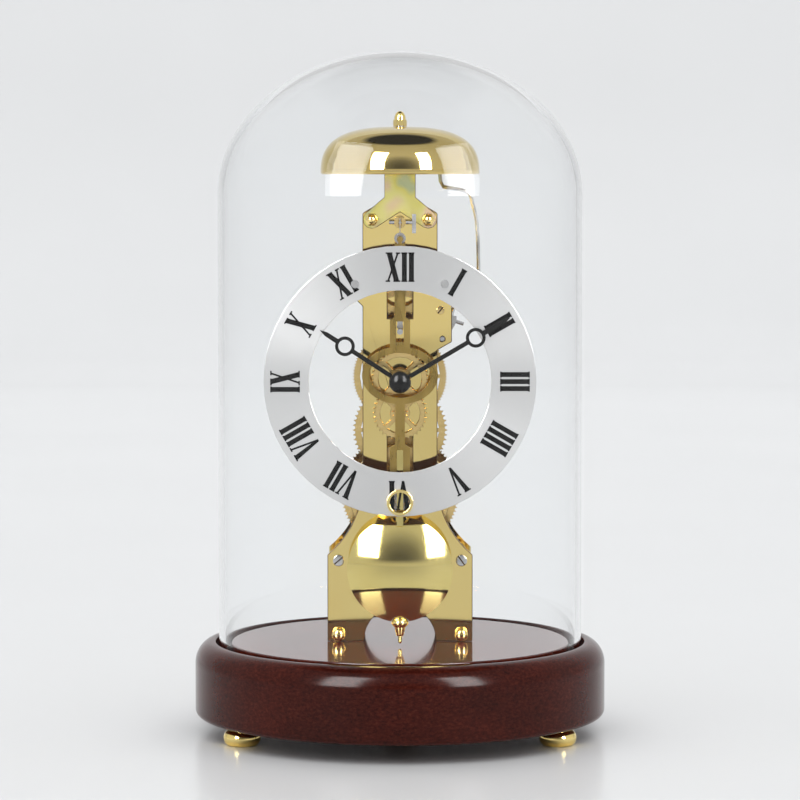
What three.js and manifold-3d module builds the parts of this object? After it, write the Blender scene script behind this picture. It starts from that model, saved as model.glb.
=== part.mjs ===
// A chiming table clock under a glass dome: a skeleton movement on a turned wooden base.
// Millimetres, +Z up, the dial faces -Y. The origin is on the table, under the base's centre.
import * as THREE from 'three';
import { mergeVertices } from 'three/addons/utils/BufferGeometryUtils.js';
import Module from 'manifold-3d';

const wasm = await Module();
wasm.setup();

// Driving dimensions: clearances
const fit = 0.3; // round a pin, in a bore or beside a neighbour
const seat = 0.15; // under a piece that rests flat on another

// Driving dimensions: base, feet and dome
const footHeight = 7.5;
const footRadius = 7.6;
const footInset = 11;
const footEdge = 1.4;
const studRadius = 2;
const studLength = 8;
const baseRadius = 85;
const baseHeight = 30.6;
const baseTopRound = 9;
const baseBottomRound = 2.5;
const rimWidth = 8.5;
const rimLand = 1;
const domeWall = 2.6;
const domeInnerGap = 2.6;
const domeOuterGap = 1.3;
const grooveDepth = 6;
const feltThickness = 1.5;
const domeCrown = 59;
const domeRoundness = 2;
const domeHeadroom = 21.7;

// Driving dimensions: plates and pillars
const plateThickness = 2;
const plateGap = 28;
const frontPlateY = -6;
const legHalfWidth = 30;
const legHeight = 36;
const stripHalfWidth = 15.4;
const flareRadius = 40;
const archRadius = 14.9;
const earMargin = 3.9;
const windowHalfWidth = 5.2;
const windowBar = 1.9;
const upperWindowHeight = 21;
const lowerWindowHeight = 20;
const pillarRadius = 2.7;
const tenonRadius = 1.6;
const pillarBore = 1.5;
const pillarBoreDepth = 7;
const screwRadius = 1.2;
const screwReach = 6;
const pillarInset = 4.6;
const lowPillarRise = 3.1;
const midPillarRise = 33.7;
const topPillarRise = 0.9;
const topPillarInset = 3.8;
const shoulderRise = 2.5;
const crestRise = 7.8;
const anchorStudDepth = 11;
const upperWindowRise = 3.5;
const lowerWindowDrop = 2.5;
const earRise = 6;
const earDrop = 4;
const hammerEarDrop = 1.2;
const hammerEarSlope = 3.4;
const ballNutRadius = 2.7;
const ballNutSeat = 2;
const ballNutHeight = 4;
const slotScrewRadius = 2.4;
const slotScrewHeight = 1.2;
const slotScrewChamfer = 0.3;
const slotWidth = 0.5;
const slotDepth = 0.6;
const acornHexRadius = 2.8;
const acornHexHeight = 2;
const acornRadius = 2.3;
const acornHeight = 2.4;

// Driving dimensions: gear train, from the mainspring barrel up to the pendulum
const barrelRise = 59.9;
const greatTeeth = 96;
const intermediateLeaves = 12;
const greatModule = 0.51;
const intermediateTeeth = 60;
const centerLeaves = 8;
const intermediateModule = 0.64;
const centerTeeth = 96;
const thirdLeaves = 8;
const centerModule = 0.405;
const thirdTeeth = 75;
const escapeLeaves = 6;
const thirdModule = 0.4;
const escapeTeeth = 32;
const escapeRadius = 13;
const escapeToothDepth = 2.2;
const anchorReach = 20.3;
const suspensionRise = 6.8;
const wheelThickness = 1.5;
const greatWheelThickness = 2;
const frontWheelGap = 2;
const wheelGap = 1;
const escapeGap = 3.5;
const centerGap = 1.5;
const rearGap = 6.7;
const wheelRim = 2.4;
const wheelHub = 3.4;
const spokeWidth = 1.6;
const arborRadius = 1.3;
const pivotRadius = 0.8;
const pivotShare = 0.8;
const endInset = 0.2;
const endPlay = 0.4;
const pinionOverhang = 0.6;
const addendum = 0.8;
const dedendum = 1;
const toothShare = 0.28;
const escapeToothShare = 0.2;
const drumInset = 3.6;
const drumWall = 1.5;
const barrelCapThickness = 1.3;
const springTurns = 4;
const springStrip = 0.7;
const springSide = 0.8;
const springArborRadius = 4;
const springArborStep = 1.4;
const springArborSide = 0.5;
const barrelPivotRadius = 1.8;
const windingSquare = 3.2;
const squareGap = 0.5;
const ratchetTeeth = 24;
const ratchetRadius = 6.1;
const ratchetToothDepth = 0.9;
const ratchetThickness = 1.6;
const ratchetGap = 0.4;
const ratchetToothShare = 0.96;
const clickLength = 7;
const clickOffset = 1.078;
const clickHead = 1;
const clickBackHalf = 2;
const clickFrontHalf = 1.1;
const clickNose = 1.6;
const palletHalfWidth = 0.35;
const palletRise = 2.4;
const palletSpan = 2.5;
const anchorBodyHalf = 2.6;
const anchorWaist = 1.5;
const anchorDrop = 2.4;
const anchorShoulder = 1;
const anchorArmDepth = 1.2;
const crutchGap = 1;
const crutchThickness = 1;
const crutchHalfWidth = 1.1;
const crutchHubRadius = 2.4;
const crutchReach = 2;
const crutchFoot = 1.4;

// Driving dimensions: motion work, hands and dial
const cannonLeaves = 12;
const minuteTeeth = 36;
const motionModule = 0.6;
const minuteLeaves = 10;
const hourTeeth = 40;
const pipeWall = 0.7;
const centerPostRadius = 1;
const handThickness = 0.6;
const handGap = 1;
const dialHandGap = 1.6;
const motionGap = 1.5;
const motionRim = 1.92;
const minuteHub = 4.2;
const hourHubWidth = 1.4;
const hourHandLength = 38.6;
const hourRingReach = 26.5;
const minuteHandLength = 51.5;
const minuteRingReach = 35.4;
const handRingRadius = 4;
const handRingWidth = 1.3;
const handBar = 1.8;
const hourAngle = -57;
const minuteAngle = 59.5;
const capRadius = 4.5;
const capHeight = 2.6;
const capRim = 0.6;
const capBore = 1;
const handHubWidth = 1.1;
const handPoint = 3;
const handTipHalfWidth = 1;
const dialStandoff = 21;
const dialThickness = 1;
const dialBand = 18;
const dialEdge = 0.3;
const eyeletRadius = 5.4;
const eyeletBore = 4.2;
const eyeletFlange = 0.8;
const eyeletWall = 0.6;
const eyeletLip = 0.4;
const dialPillarInset = 6.5;
const dialPillarRadius = 2;
const dialPillarEdge = 3.2;
const dialScrewOverlap = 0.2;
const dialScrewHeight = 0.4;

// Driving dimensions: pendulum
const pendulumGap = 9;
const rodThickness = 1.2;
const rodHalfWidth = 2.2;
const lowerRodHalfWidth = 1.95;
const shoeLength = 15;
const shoeDrop = 4.3;
const bobStripHalfWidth = 1.3;
const bobStripThickness = 0.8;
const bobStripSink = 0.32;
const bobStripDrop = 2.2;
const ringHalfWidth = 15.5;
const ringHalfHeight = 11.8;
const ringWidth = 3.1;
const ringEndWidth = 2.6;
const ringRise = 2.1;
const neckHalfWidth = 4.1;
const neckLength = 12;
const neckChamfer = 1.5;
const crutchSlotLength = 8.4;
const rodDrop = 5.6;
const rodEyeRadius = 1.2;
const rodLinkHalfWidth = 0.7;
const rodLinkLength = 3;
const crutchPinRadius = 1.2;
const crutchSlot = 3.2;
const bobRadius = 21.6;
const bobHalfThickness = 5.8;
const bobRimHalf = 0.5;
const bobOverlap = 3.5;
const tipGap = 1.2;
const tipLength = 3.1;
const tipRadius = 0.8;
const tipPointRadius = 0.48;
const tipChamfer = 0.6;
const tipRoot = 4;
const nutLength = 7.8;
const nutKnobRadius = 3.5;
const nutKnobHeight = 4.7;
const nutNeckRadius = 1.5;
const nutNest = 2.1;
const nutNeckFlare = 0.5;
const nutNeckDrop = 1.4;
const knobShare = 0.62;
const springThickness = 0.3;
const springWidth = 3.5;
const stanchionRadius = 2.4;
const stanchionOverhang = 1.5;
const springRise = 1.6;
const springSideGap = 0.8;
const pinOverhangLeft = 2;
const pinOverhangRight = 3;
const pinFlagWidth = 1.6;
const pinFlagDrop = 4.4;
const pinFlagRise = 3.4;
const pinFlagThickness = 1.2;

// Driving dimensions: bell and hammer
const bracketThickness = 1.5;
const bracketHalfWidth = 6.4;
const bracketEarRadius = 3.7;
const bracketEarFrom = 0.8;
const bracketEarTo = -2.2;
const bracketNeckRise = 5.5;
const bracketNotchGap = 1.6;
const bossWall = 1.4;
const bellRise = 19.5;
const bellRadius = 32.9;
const bellHeight = 19.8;
const bellWall = 1.5;
const bellRoundness = 2.35;
const bellBoltRadius = 1.9;
const bellBoltHead = 3.5;
const bellBoltHeadHeight = 2.4;
const bellNutRadius = 2.8;
const bellNutHeight = 6.3;
const bellNutHexHeight = 2.65;
const bellNutDomeRadius = 2.4;
const bellNutRim = 0.4;
const bellBoltReach = 3.5;
const hammerCenterGap = 4;
const hammerThirdGap = 2.8;
const hammerOffset = 1;
const hammerHubRadius = 3;
const hammerHubLength = 3;
const leverHalfWidth = 1.8;
const leverThickness = 2.4;
const leverLead = 1;
const tailHalfWidth = 0.9;
const tailThickness = 1.4;
const socketShift = 4.2;
const socketRise = 8.5;
const socketRim = 0.6;
const socketDepth = 1.2;
const stopRadius = 0.8;
const stopLength = 5;
const stopTilt = 0.32;
const hammerWireRadius = 0.9;
const wireBend = 2.4;
const wireBow = 3.2;
const wireStep = 0.8;
const wireRun = 12;
const jogDrop = 6;
const elbowInset = 3.8;
const headWireInset = 6;
const hammerHeadRise = 8.3;
const hammerHeadEdge = 0.6;
const headTenon = 1;
const headTenonRadius = 0.8;
const hammerHeadRadius = 3;
const hammerHeadLength = 15;
const hammerStrikeGap = 1.2;
const hammerTailGap = 0.5;
const strikeCamRadius = 4;
const strikeCamFoot = 2.4;
const strikeCamThickness = 1.6;

// A cutter runs past the faces that it goes through, and joined shapes reach into each other
const overrun = 1;
const overlap = 0.5;

// Heights that follow from them
const baseTop = footHeight + baseHeight;
const greatPitch = (greatTeeth * greatModule) / 2;
const intermediatePinionPitch = (intermediateLeaves * greatModule) / 2;
const intermediatePitch = (intermediateTeeth * intermediateModule) / 2;
const centerPinionPitch = (centerLeaves * intermediateModule) / 2;
const centerPitch = (centerTeeth * centerModule) / 2;
const thirdPinionPitch = (thirdLeaves * centerModule) / 2;
const thirdPitch = (thirdTeeth * thirdModule) / 2;
const escapePinionPitch = (escapeLeaves * thirdModule) / 2;
const barrelZ = baseTop + barrelRise;
const intermediateZ = barrelZ + greatPitch + intermediatePinionPitch;
const centerZ = intermediateZ + intermediatePitch + centerPinionPitch;
const thirdZ = centerZ + centerPitch + thirdPinionPitch;
const escapeZ = thirdZ + thirdPitch + escapePinionPitch;
const anchorZ = escapeZ + anchorReach;
const suspensionZ = anchorZ + suspensionRise;
const topPillarZ = suspensionZ + topPillarRise;
const topPillarX = stripHalfWidth - topPillarInset;
const shoulderZ = topPillarZ + shoulderRise;
const plateTop = topPillarZ + crestRise;
const pillarX = legHalfWidth - pillarInset;
const lowPillarZ = baseTop + lowPillarRise;
const midPillarZ = baseTop + midPillarRise;
const bellRimZ = suspensionZ + bellRise;
const bellTop = bellRimZ + bellHeight;
const bellNutTop = bellTop + seat + bellNutHeight;

// The motion work's second pair shares the first pair's centre distance
const motionDistance = ((cannonLeaves + minuteTeeth) * motionModule) / 2;
const hourModule = (2 * motionDistance) / (minuteLeaves + hourTeeth);
const minuteZ = centerZ - motionDistance;

// Depths, from the back plate forward to the hands
const innerFront = frontPlateY + plateThickness;
const innerBack = innerFront + plateGap;
const backPlateY = innerBack + plateThickness;
const intermediateY = innerFront + frontWheelGap;
const barrelCapY = intermediateY + wheelThickness + wheelGap;
const drumY = barrelCapY + barrelCapThickness + seat;
const escapeY = intermediateY + wheelThickness + escapeGap;
const hammerY = escapeY + hammerOffset;
const centerY = escapeY + wheelThickness + centerGap;
const rearY = centerY + wheelThickness + rearGap;
const dialBackY = frontPlateY - dialStandoff;
const dialFrontY = dialBackY - dialThickness;
const minuteWheelY = frontPlateY - motionGap;
const hourWheelY = minuteWheelY - wheelThickness - wheelGap;
const rodBackY = hourWheelY - wheelThickness - pendulumGap;
const rodFrontY = rodBackY - rodThickness;
const hourHandY = dialFrontY - dialHandGap;
const minuteHandY = hourHandY - handThickness - handGap;
const capY = minuteHandY - handThickness - seat;
const crutchY = frontPlateY - crutchGap;
const stanchionFrontY = rodFrontY - stanchionOverhang;
const ratchetY = frontPlateY - ratchetGap - ratchetThickness;
const movementMiddleY = (innerFront + innerBack) / 2;

// The bracket's front corner stays inside the bell's curve
const bracketCorner = Math.hypot(bracketHalfWidth, hammerY - frontPlateY + seat + bracketThickness);
const bellInner = bellRadius - bellWall;
const bellInnerHeight = bellHeight - bellWall;
const cornerShare = (1 - (bracketCorner / bellInner) ** bellRoundness) ** (1 / bellRoundness);
const flangeTop = bellRimZ + bellInnerHeight * cornerShare - 2 * fit;
const bossTop = bellTop - bellWall - fit;
const bossRadius = bellBoltRadius + fit + bossWall;

// Radii round the dial and the dome
const dialOuter = centerZ - barrelZ + eyeletRadius + dialEdge;
const dialInner = dialOuter - dialBand;
const footCircle = baseRadius - footInset;
const grooveOuter = baseRadius - rimWidth;
const domeOuter = grooveOuter - domeOuterGap;
const domeInner = domeOuter - domeWall;
const discRadius = domeInner - domeInnerGap;
const grooveFloor = baseTop - grooveDepth;

// The hammer's pivot clears the centre wheel and the third wheel by its two gaps
const hammerToCenter = centerPitch + addendum * centerModule + hammerCenterGap;
const hammerToThird = thirdPitch + addendum * thirdModule + hammerThirdGap;
const trainStep = thirdZ - centerZ;
const hammerRise = (hammerToCenter ** 2 - hammerToThird ** 2 + trainStep ** 2) / (2 * trainStep);
const hammerX = Math.sqrt(hammerToCenter ** 2 - hammerRise ** 2);
const hammerZ = centerZ + hammerRise;
const earHalfWidth = hammerX + earMargin;
const dialPillarX = earHalfWidth - dialPillarEdge;
const dialPillarZ = centerZ + Math.sqrt((dialInner + dialPillarInset) ** 2 - dialPillarX ** 2);

// The click stands beside the ratchet wheel, which sits on the barrel arbor's neck
const clickX = -ratchetRadius - clickOffset;
const clickZ = barrelZ + clickLength;
const barrelNeckRadius = springArborRadius - springArborStep;

// Pendulum heights, from the tip that clears the base
const nutBottomZ = baseTop + tipGap + tipLength;
const nutTopZ = nutBottomZ + nutLength;
const bobZ = nutTopZ - nutNest + bobRadius;
const stripEndZ = bobZ + bobRadius - bobOverlap;
const shoeTopZ = intermediateZ - shoeDrop;
const rodTopZ = suspensionZ - rodDrop;
const ringZ = centerZ + ringRise;
const neckTopZ = ringZ + ringHalfHeight + neckLength;
const crutchPinZ = ringZ + ringHalfHeight + neckLength / 2;

// Materials
const brass = { color: 0xd9b35f, roughness: 0.18, metalness: 1 };
const darkBrass = { color: 0xa68a4c, roughness: 0.3, metalness: 1 };
const steel = { color: 0xb9bcc0, roughness: 0.3, metalness: 1 };
const zinc = { color: 0xd8cf6c, roughness: 0.35, metalness: 1 };
const silver = { color: 0xdcdde0, roughness: 0.35, metalness: 0.9 };
const black = { color: 0x111214, roughness: 0.35, metalness: 0.3 };
const wood = { color: 0x4a1a14, roughness: 0.25, metalness: 0 };
const felt = { color: 0x14110f, roughness: 0.95, metalness: 0 };
const glass = { color: 0xf2f6f8, roughness: 0.02, metalness: 0, transparent: true, opacity: 0.2 };

// Solid helpers

function weld(geometry) {
  const bare = geometry.index ? geometry.toNonIndexed() : geometry.clone();
  bare.deleteAttribute('normal');
  bare.deleteAttribute('uv');
  const merged = mergeVertices(bare, 1e-4);
  const from = merged.index.array;
  const place = merged.attributes.position;
  const kept = [];
  let volume = 0;
  const a = new THREE.Vector3();
  const b = new THREE.Vector3();
  const c = new THREE.Vector3();
  for (let i = 0; i < from.length; i += 3) {
    const [p, q, r] = [from[i], from[i + 1], from[i + 2]];
    if (p === q || q === r || r === p) continue;
    kept.push(p, q, r);
    a.fromBufferAttribute(place, p);
    b.fromBufferAttribute(place, q);
    c.fromBufferAttribute(place, r);
    volume += a.dot(b.cross(c));
  }
  if (volume < 0) kept.reverse();
  merged.setIndex(kept);
  return merged;
}

function toSolid(geometry) {
  const welded = weld(geometry);
  const vertProperties = new Float32Array(welded.attributes.position.array);
  const triVerts = new Uint32Array(welded.index.array);
  return new wasm.Manifold(new wasm.Mesh({ numProp: 3, vertProperties, triVerts }));
}

function toGeometry(solid) {
  const mesh = solid.getMesh();
  const geometry = new THREE.BufferGeometry();
  geometry.setAttribute('position', new THREE.BufferAttribute(new Float32Array(mesh.vertProperties), 3));
  geometry.setIndex(Array.from(mesh.triVerts));
  return geometry;
}

function join(first, ...others) {
  return toGeometry(others.reduce((solid, other) => solid.add(toSolid(other)), toSolid(first)));
}

function cut(first, ...tools) {
  return toGeometry(tools.reduce((solid, tool) => solid.subtract(toSolid(tool)), toSolid(first)));
}

// Shape helpers: outlines are drawn in X and Z, seen from the front

function circlePath(x, z, radius, sides = 20, turn = 0) {
  const points = [];
  for (let i = 0; i < sides; i += 1) {
    const angle = turn + (i * 2 * Math.PI) / sides;
    points.push(new THREE.Vector2(x + radius * Math.cos(angle), z + radius * Math.sin(angle)));
  }
  return points;
}

function corners(pairs) {
  return pairs.map(([x, z]) => new THREE.Vector2(x, z));
}

function outline(points, holes = []) {
  const shape = new THREE.Shape(points);
  holes.forEach((hole) => shape.holes.push(new THREE.Path(hole)));
  return shape;
}

function box(x0, x1, z0, z1) {
  return corners([[x0, z0], [x1, z0], [x1, z1], [x0, z1]]);
}

// A flat piece whose front face is at the given Y
function slab(shape, frontY, thickness, curveSegments = 12) {
  const geometry = new THREE.ExtrudeGeometry(shape, { depth: thickness, bevelEnabled: false, curveSegments });
  return geometry.rotateX(Math.PI / 2).translate(0, frontY + thickness, 0);
}

function turned(profile, sides = 24) {
  return new THREE.LatheGeometry(profile.map(([r, along]) => new THREE.Vector2(r, along)), sides);
}

// Turned about an axis along Y, at a place in X and Z; the profile holds radius and Y
function turnedAcross(profile, x, z, sides = 20) {
  return turned(profile, sides).translate(x, 0, z);
}

// Turned about an upright axis, at a place in X and Y; the profile holds radius and Z
function turnedUpright(profile, x = 0, y = 0, sides = 24) {
  return turned(profile, sides).rotateX(Math.PI / 2).translate(x, y, 0);
}

function rodAcross(x, z, radius, y0, y1, sides = 16) {
  return turnedAcross([[0, y0], [radius, y0], [radius, y1], [0, y1]], x, z, sides);
}

function rodUpright(x, y, radius, z0, z1, sides = 16) {
  return turnedUpright([[0, z0], [radius, z0], [radius, z1], [0, z1]], x, y, sides);
}

// A quarter of a rounded crown, from its rim to its top, as radius and height over the rim
function crown(radius, height, roundness, steps) {
  const points = [];
  for (let i = 0; i <= steps; i += 1) {
    const angle = (i / steps) * (Math.PI / 2);
    const across = i === steps ? 0 : radius * Math.cos(angle) ** (2 / roundness);
    points.push([across, height * Math.sin(angle) ** (2 / roundness)]);
  }
  return points;
}

function arc(cx, cz, rx, rz, from, to, steps) {
  const points = [];
  for (let i = 0; i <= steps; i += 1) {
    const angle = from + ((to - from) * i) / steps;
    points.push([cx + rx * Math.cos(angle), cz + rz * Math.sin(angle)]);
  }
  return points;
}

// Gear teeth, the first one pointing along the given angle, with room for the mating teeth
function toothed(teeth, module, phase, x, z) {
  const pitch = (2 * Math.PI) / teeth;
  const tip = (teeth * module) / 2 + addendum * module;
  const root = (teeth * module) / 2 - dedendum * module;
  const steps = [[root, -toothShare], [tip, 0], [root, toothShare]];
  const points = [];
  for (let i = 0; i < teeth; i += 1) {
    steps.forEach(([radius, share]) => {
      const angle = phase + (i + share) * pitch;
      points.push(new THREE.Vector2(x + radius * Math.cos(angle), z + radius * Math.sin(angle)));
    });
  }
  return points;
}

// Windows between a wheel's spokes
function crossings(x, z, hub, rim, spokes, turn) {
  const windows = [];
  for (let i = 0; i < spokes; i += 1) {
    const start = turn + (i * 2 * Math.PI) / spokes;
    const end = start + (2 * Math.PI) / spokes;
    const outer = Math.asin(spokeWidth / 2 / rim);
    const inner = Math.asin(spokeWidth / 2 / hub);
    const points = [
      ...arc(x, z, rim, rim, start + outer, end - outer, 4),
      ...arc(x, z, hub, hub, end - inner, start + inner, 2),
    ];
    windows.push(corners(points));
  }
  return windows;
}

const up = Math.PI / 2;
const down = -Math.PI / 2;

// A gap that faces the given direction, for a gear that meets a tooth pointing the other way
function gapFacing(direction, teeth) {
  return direction + Math.PI / teeth;
}

const clock = new THREE.Group();

function place(name, geometry, finish) {
  const mesh = new THREE.Mesh(weld(geometry), new THREE.MeshStandardMaterial(finish));
  mesh.name = name;
  clock.add(mesh);
}

// Base, feet and dome

const footAngles = { foot_front_left: 210, foot_front_right: 330, foot_back: 90 };
const footPlaces = Object.entries(footAngles).map(([name, degrees]) => {
  const angle = THREE.MathUtils.degToRad(degrees);
  return { name, x: footCircle * Math.cos(angle), y: footCircle * Math.sin(angle) };
});

function makeBase() {
  const roundCenter = grooveOuter + rimLand;
  const lowRound = baseBottomRound;
  const profile = [
    [0, footHeight],
    ...arc(baseRadius - lowRound, footHeight + lowRound, lowRound, lowRound, down, 0, 2),
    ...arc(roundCenter, baseTop - baseTopRound, baseRadius - roundCenter, baseTopRound, 0, up, 5),
    [grooveOuter, baseTop],
    [grooveOuter, grooveFloor],
    [discRadius, grooveFloor],
    [discRadius, baseTop],
    [0, baseTop],
  ];
  const studTop = footHeight + studLength + fit;
  const studHoles = footPlaces.map(({ x, y }) => (
    rodUpright(x, y, studRadius + fit, footHeight - overrun, studTop, 12)));
  const anchorFloor = baseTop - anchorStudDepth - fit;
  const anchorHoles = [-pillarX, pillarX].map((x) => (
    rodUpright(x, movementMiddleY, pillarBore + fit, anchorFloor, baseTop + overrun, 12)));
  place('base', cut(turnedUpright(profile, 0, 0, 40), ...studHoles, ...anchorHoles), wood);
}

function makeFelt() {
  const [inner, outer] = [discRadius + fit, grooveOuter - fit];
  const [low, high] = [grooveFloor + seat, grooveFloor + seat + feltThickness];
  const profile = [[inner, low], [outer, low], [outer, high], [inner, high], [inner, low]];
  place('groove_felt', turnedUpright(profile, 0, 0, 40), felt);
}

function makeFeet() {
  const top = footHeight - seat;
  const edgeX = footRadius - footEdge;
  footPlaces.forEach(({ name, x, y }) => {
    const profile = [
      [0, 0],
      ...arc(edgeX, footEdge, footEdge, footEdge, down, 0, 2),
      ...arc(edgeX, top - footEdge, footEdge, footEdge, 0, up, 2),
      [studRadius, top],
      [studRadius, top + studLength],
      [0, top + studLength],
    ];
    place(name, turnedUpright(profile, x, y, 16), brass);
  });
}

function makeDome() {
  const bottom = grooveFloor + 2 * seat + feltThickness;
  const top = bellNutTop + domeHeadroom + domeWall;
  const spring = top - domeCrown;
  const rise = ([r, h]) => [r, spring + h];
  const inner = crown(domeInner, domeCrown - domeWall, domeRoundness, 7).map(rise).reverse();
  const outer = crown(domeOuter, domeCrown, domeRoundness, 7).map(rise);
  const profile = [...inner, [domeInner, bottom], [domeOuter, bottom], ...outer];
  place('dome', turnedUpright(profile, 0, 0, 36), glass);
}

// Plates and pillars

const pillars = [
  { name: 'low_left', x: -pillarX, z: lowPillarZ },
  { name: 'low_right', x: pillarX, z: lowPillarZ },
  { name: 'mid_left', x: -pillarX, z: midPillarZ },
  { name: 'mid_right', x: pillarX, z: midPillarZ },
  { name: 'top_left', x: -topPillarX, z: topPillarZ },
  { name: 'top_right', x: topPillarX, z: topPillarZ },
];

function plateOutline() {
  const bottom = baseTop + seat;
  const legTop = baseTop + legHeight;
  const flareX = stripHalfWidth + flareRadius;
  const flareZ = legTop + Math.sqrt(flareRadius ** 2 - (flareX - legHalfWidth) ** 2);
  const flareFrom = Math.atan2(legTop - flareZ, legHalfWidth - flareX) + 2 * Math.PI;
  const earTop = dialPillarZ + earRise;
  const earFoot = dialPillarZ - earDrop;
  const hammerFoot = hammerZ - hammerEarDrop;
  const earSlope = earHalfWidth - stripHalfWidth;
  const topHalf = bracketHalfWidth;
  const flareTo = Math.PI;
  const points = [
    [legHalfWidth, bottom],
    ...arc(flareX, flareZ, flareRadius, flareRadius, flareFrom, flareTo, 10),
    [stripHalfWidth, hammerFoot - hammerEarSlope],
    [earHalfWidth, hammerFoot],
    [earHalfWidth, earTop],
    [stripHalfWidth, earTop + earSlope],
    [stripHalfWidth, shoulderZ],
    [topHalf, plateTop],
    [-topHalf, plateTop],
    [-stripHalfWidth, shoulderZ],
    [-stripHalfWidth, earTop + earSlope],
    [-earHalfWidth, earTop],
    [-earHalfWidth, earFoot],
    [-stripHalfWidth, earFoot - earSlope],
    ...arc(-flareX, flareZ, flareRadius, flareRadius, 0, Math.PI - flareFrom, 10),
    [-legHalfWidth, bottom],
    ...arc(0, bottom, archRadius, archRadius, Math.PI, 0, 16),
  ];
  return outline(corners(points));
}

function makePlates() {
  const through = plateThickness + 2 * overrun;
  const bore = (x, z, radius, y) => rodAcross(x, z, radius + fit, y - overrun, y - overrun + through, 10);
  const shared = (y) => [
    bore(0, intermediateZ, pivotRadius, y),
    bore(0, thirdZ, pivotRadius, y),
    bore(0, escapeZ, pivotRadius, y),
    bore(0, anchorZ, centerPostRadius, y),
    bore(hammerX, hammerZ, pivotRadius, y),
  ];

  const frontBores = [
    ...shared(frontPlateY),
    bore(0, centerZ, arborRadius, frontPlateY),
    bore(0, barrelZ, windingSquare, frontPlateY),
    bore(0, minuteZ, pivotRadius, frontPlateY),
    bore(0, suspensionZ, tenonRadius, frontPlateY),
    bore(clickX, clickZ, pivotRadius, frontPlateY),
    bore(-dialPillarX, dialPillarZ, screwRadius, frontPlateY),
    bore(dialPillarX, dialPillarZ, screwRadius, frontPlateY),
    ...pillars.map(({ x, z }) => bore(x, z, screwRadius, frontPlateY)),
  ];
  const upperSill = thirdZ + upperWindowRise;
  const lowerHead = intermediateZ - lowerWindowDrop;
  const windows = [-windowHalfWidth, windowBar].flatMap((x) => {
    const opening = (z0, z1) => {
      const shape = outline(box(x, x + windowHalfWidth - windowBar, z0, z1));
      return slab(shape, frontPlateY - overrun, through);
    };
    return [
      opening(upperSill, upperSill + upperWindowHeight),
      opening(lowerHead - lowerWindowHeight, lowerHead),
    ];
  });
  const frontSlab = slab(plateOutline(), frontPlateY, plateThickness);
  place('front_plate', cut(frontSlab, ...frontBores, ...windows), brass);

  const backBores = [
    ...shared(innerBack),
    bore(0, centerZ, pivotRadius, innerBack),
    bore(0, barrelZ, barrelPivotRadius, innerBack),
    ...pillars.map(({ x, z }) => bore(x, z, tenonRadius, innerBack)),
  ];
  place('back_plate', cut(slab(plateOutline(), innerBack, plateThickness), ...backBores), brass);
}

function makePillars() {
  const [front, back] = [innerFront + seat, innerBack - seat];
  pillars.forEach(({ name, x, z }) => {
    const profile = [
      [0, front + pillarBoreDepth],
      [pillarBore, front + pillarBoreDepth],
      [pillarBore, front],
      [pillarRadius, front],
      [pillarRadius, back],
      [tenonRadius, back],
      [tenonRadius, backPlateY],
      [0, backPlateY],
    ];
    const pillar = turnedAcross(profile, x, z, 12);
    if (z !== lowPillarZ) {
      place(`pillar_${name}`, pillar, brass);
      return;
    }
    const stud = rodUpright(x, movementMiddleY, pillarBore, baseTop - anchorStudDepth, z, 10);
    place(`pillar_${name}`, join(pillar, stud), brass);
  });
}

function makePlateFasteners() {
  const tip = innerFront + seat + screwReach;
  const head = frontPlateY - seat;
  const shank = [[0, tip], [screwRadius, tip]];

  const ballNut = (name, x, z) => {
    const half = ballNutHeight / 2;
    const profile = [
      ...shank,
      [screwRadius, head],
      [ballNutSeat, head],
      ...arc(0, head - half, ballNutRadius, half, up, down, 6).slice(2, -1),
      [0, head - ballNutHeight],
    ];
    place(`nut_${name}`, turnedAcross(profile, x, z, 14), brass);
  };

  const slottedScrew = (name, x, z) => {
    const face = head - slotScrewHeight;
    const profile = [
      ...shank,
      [screwRadius, head],
      [slotScrewRadius, head],
      [slotScrewRadius, face + slotScrewChamfer],
      [slotScrewRadius - slotScrewChamfer, face],
      [0, face],
    ];
    const across = slotScrewRadius + overrun;
    const slotShape = outline(box(x - across, x + across, z - slotWidth / 2, z + slotWidth / 2));
    const slot = slab(slotShape, face - overrun, slotDepth + overrun);
    place(`screw_${name}`, cut(turnedAcross(profile, x, z, 14), slot), steel);
  };

  const acornNut = (name, x, z) => {
    const foot = head - bracketThickness - seat;
    const hexFront = foot - acornHexHeight;
    const hex = slab(outline(circlePath(x, z, acornHexRadius, 6)), hexFront, acornHexHeight);
    const dome = turnedAcross([
      ...shank,
      [screwRadius, hexFront + overlap],
      [acornRadius, hexFront + overlap],
      ...arc(0, hexFront, acornRadius, acornHeight, 0, -up, 4).slice(0, -1),
      [0, hexFront - acornHeight],
    ], x, z, 14);
    place(`nut_${name}`, join(hex, dome), brass);
  };

  const fasteners = { low: ballNut, mid: slottedScrew, top: acornNut };
  pillars.forEach(({ name, x, z }) => fasteners[name.split('_')[0]](name, x, z));
}

// Mainspring barrel and winding work

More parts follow.
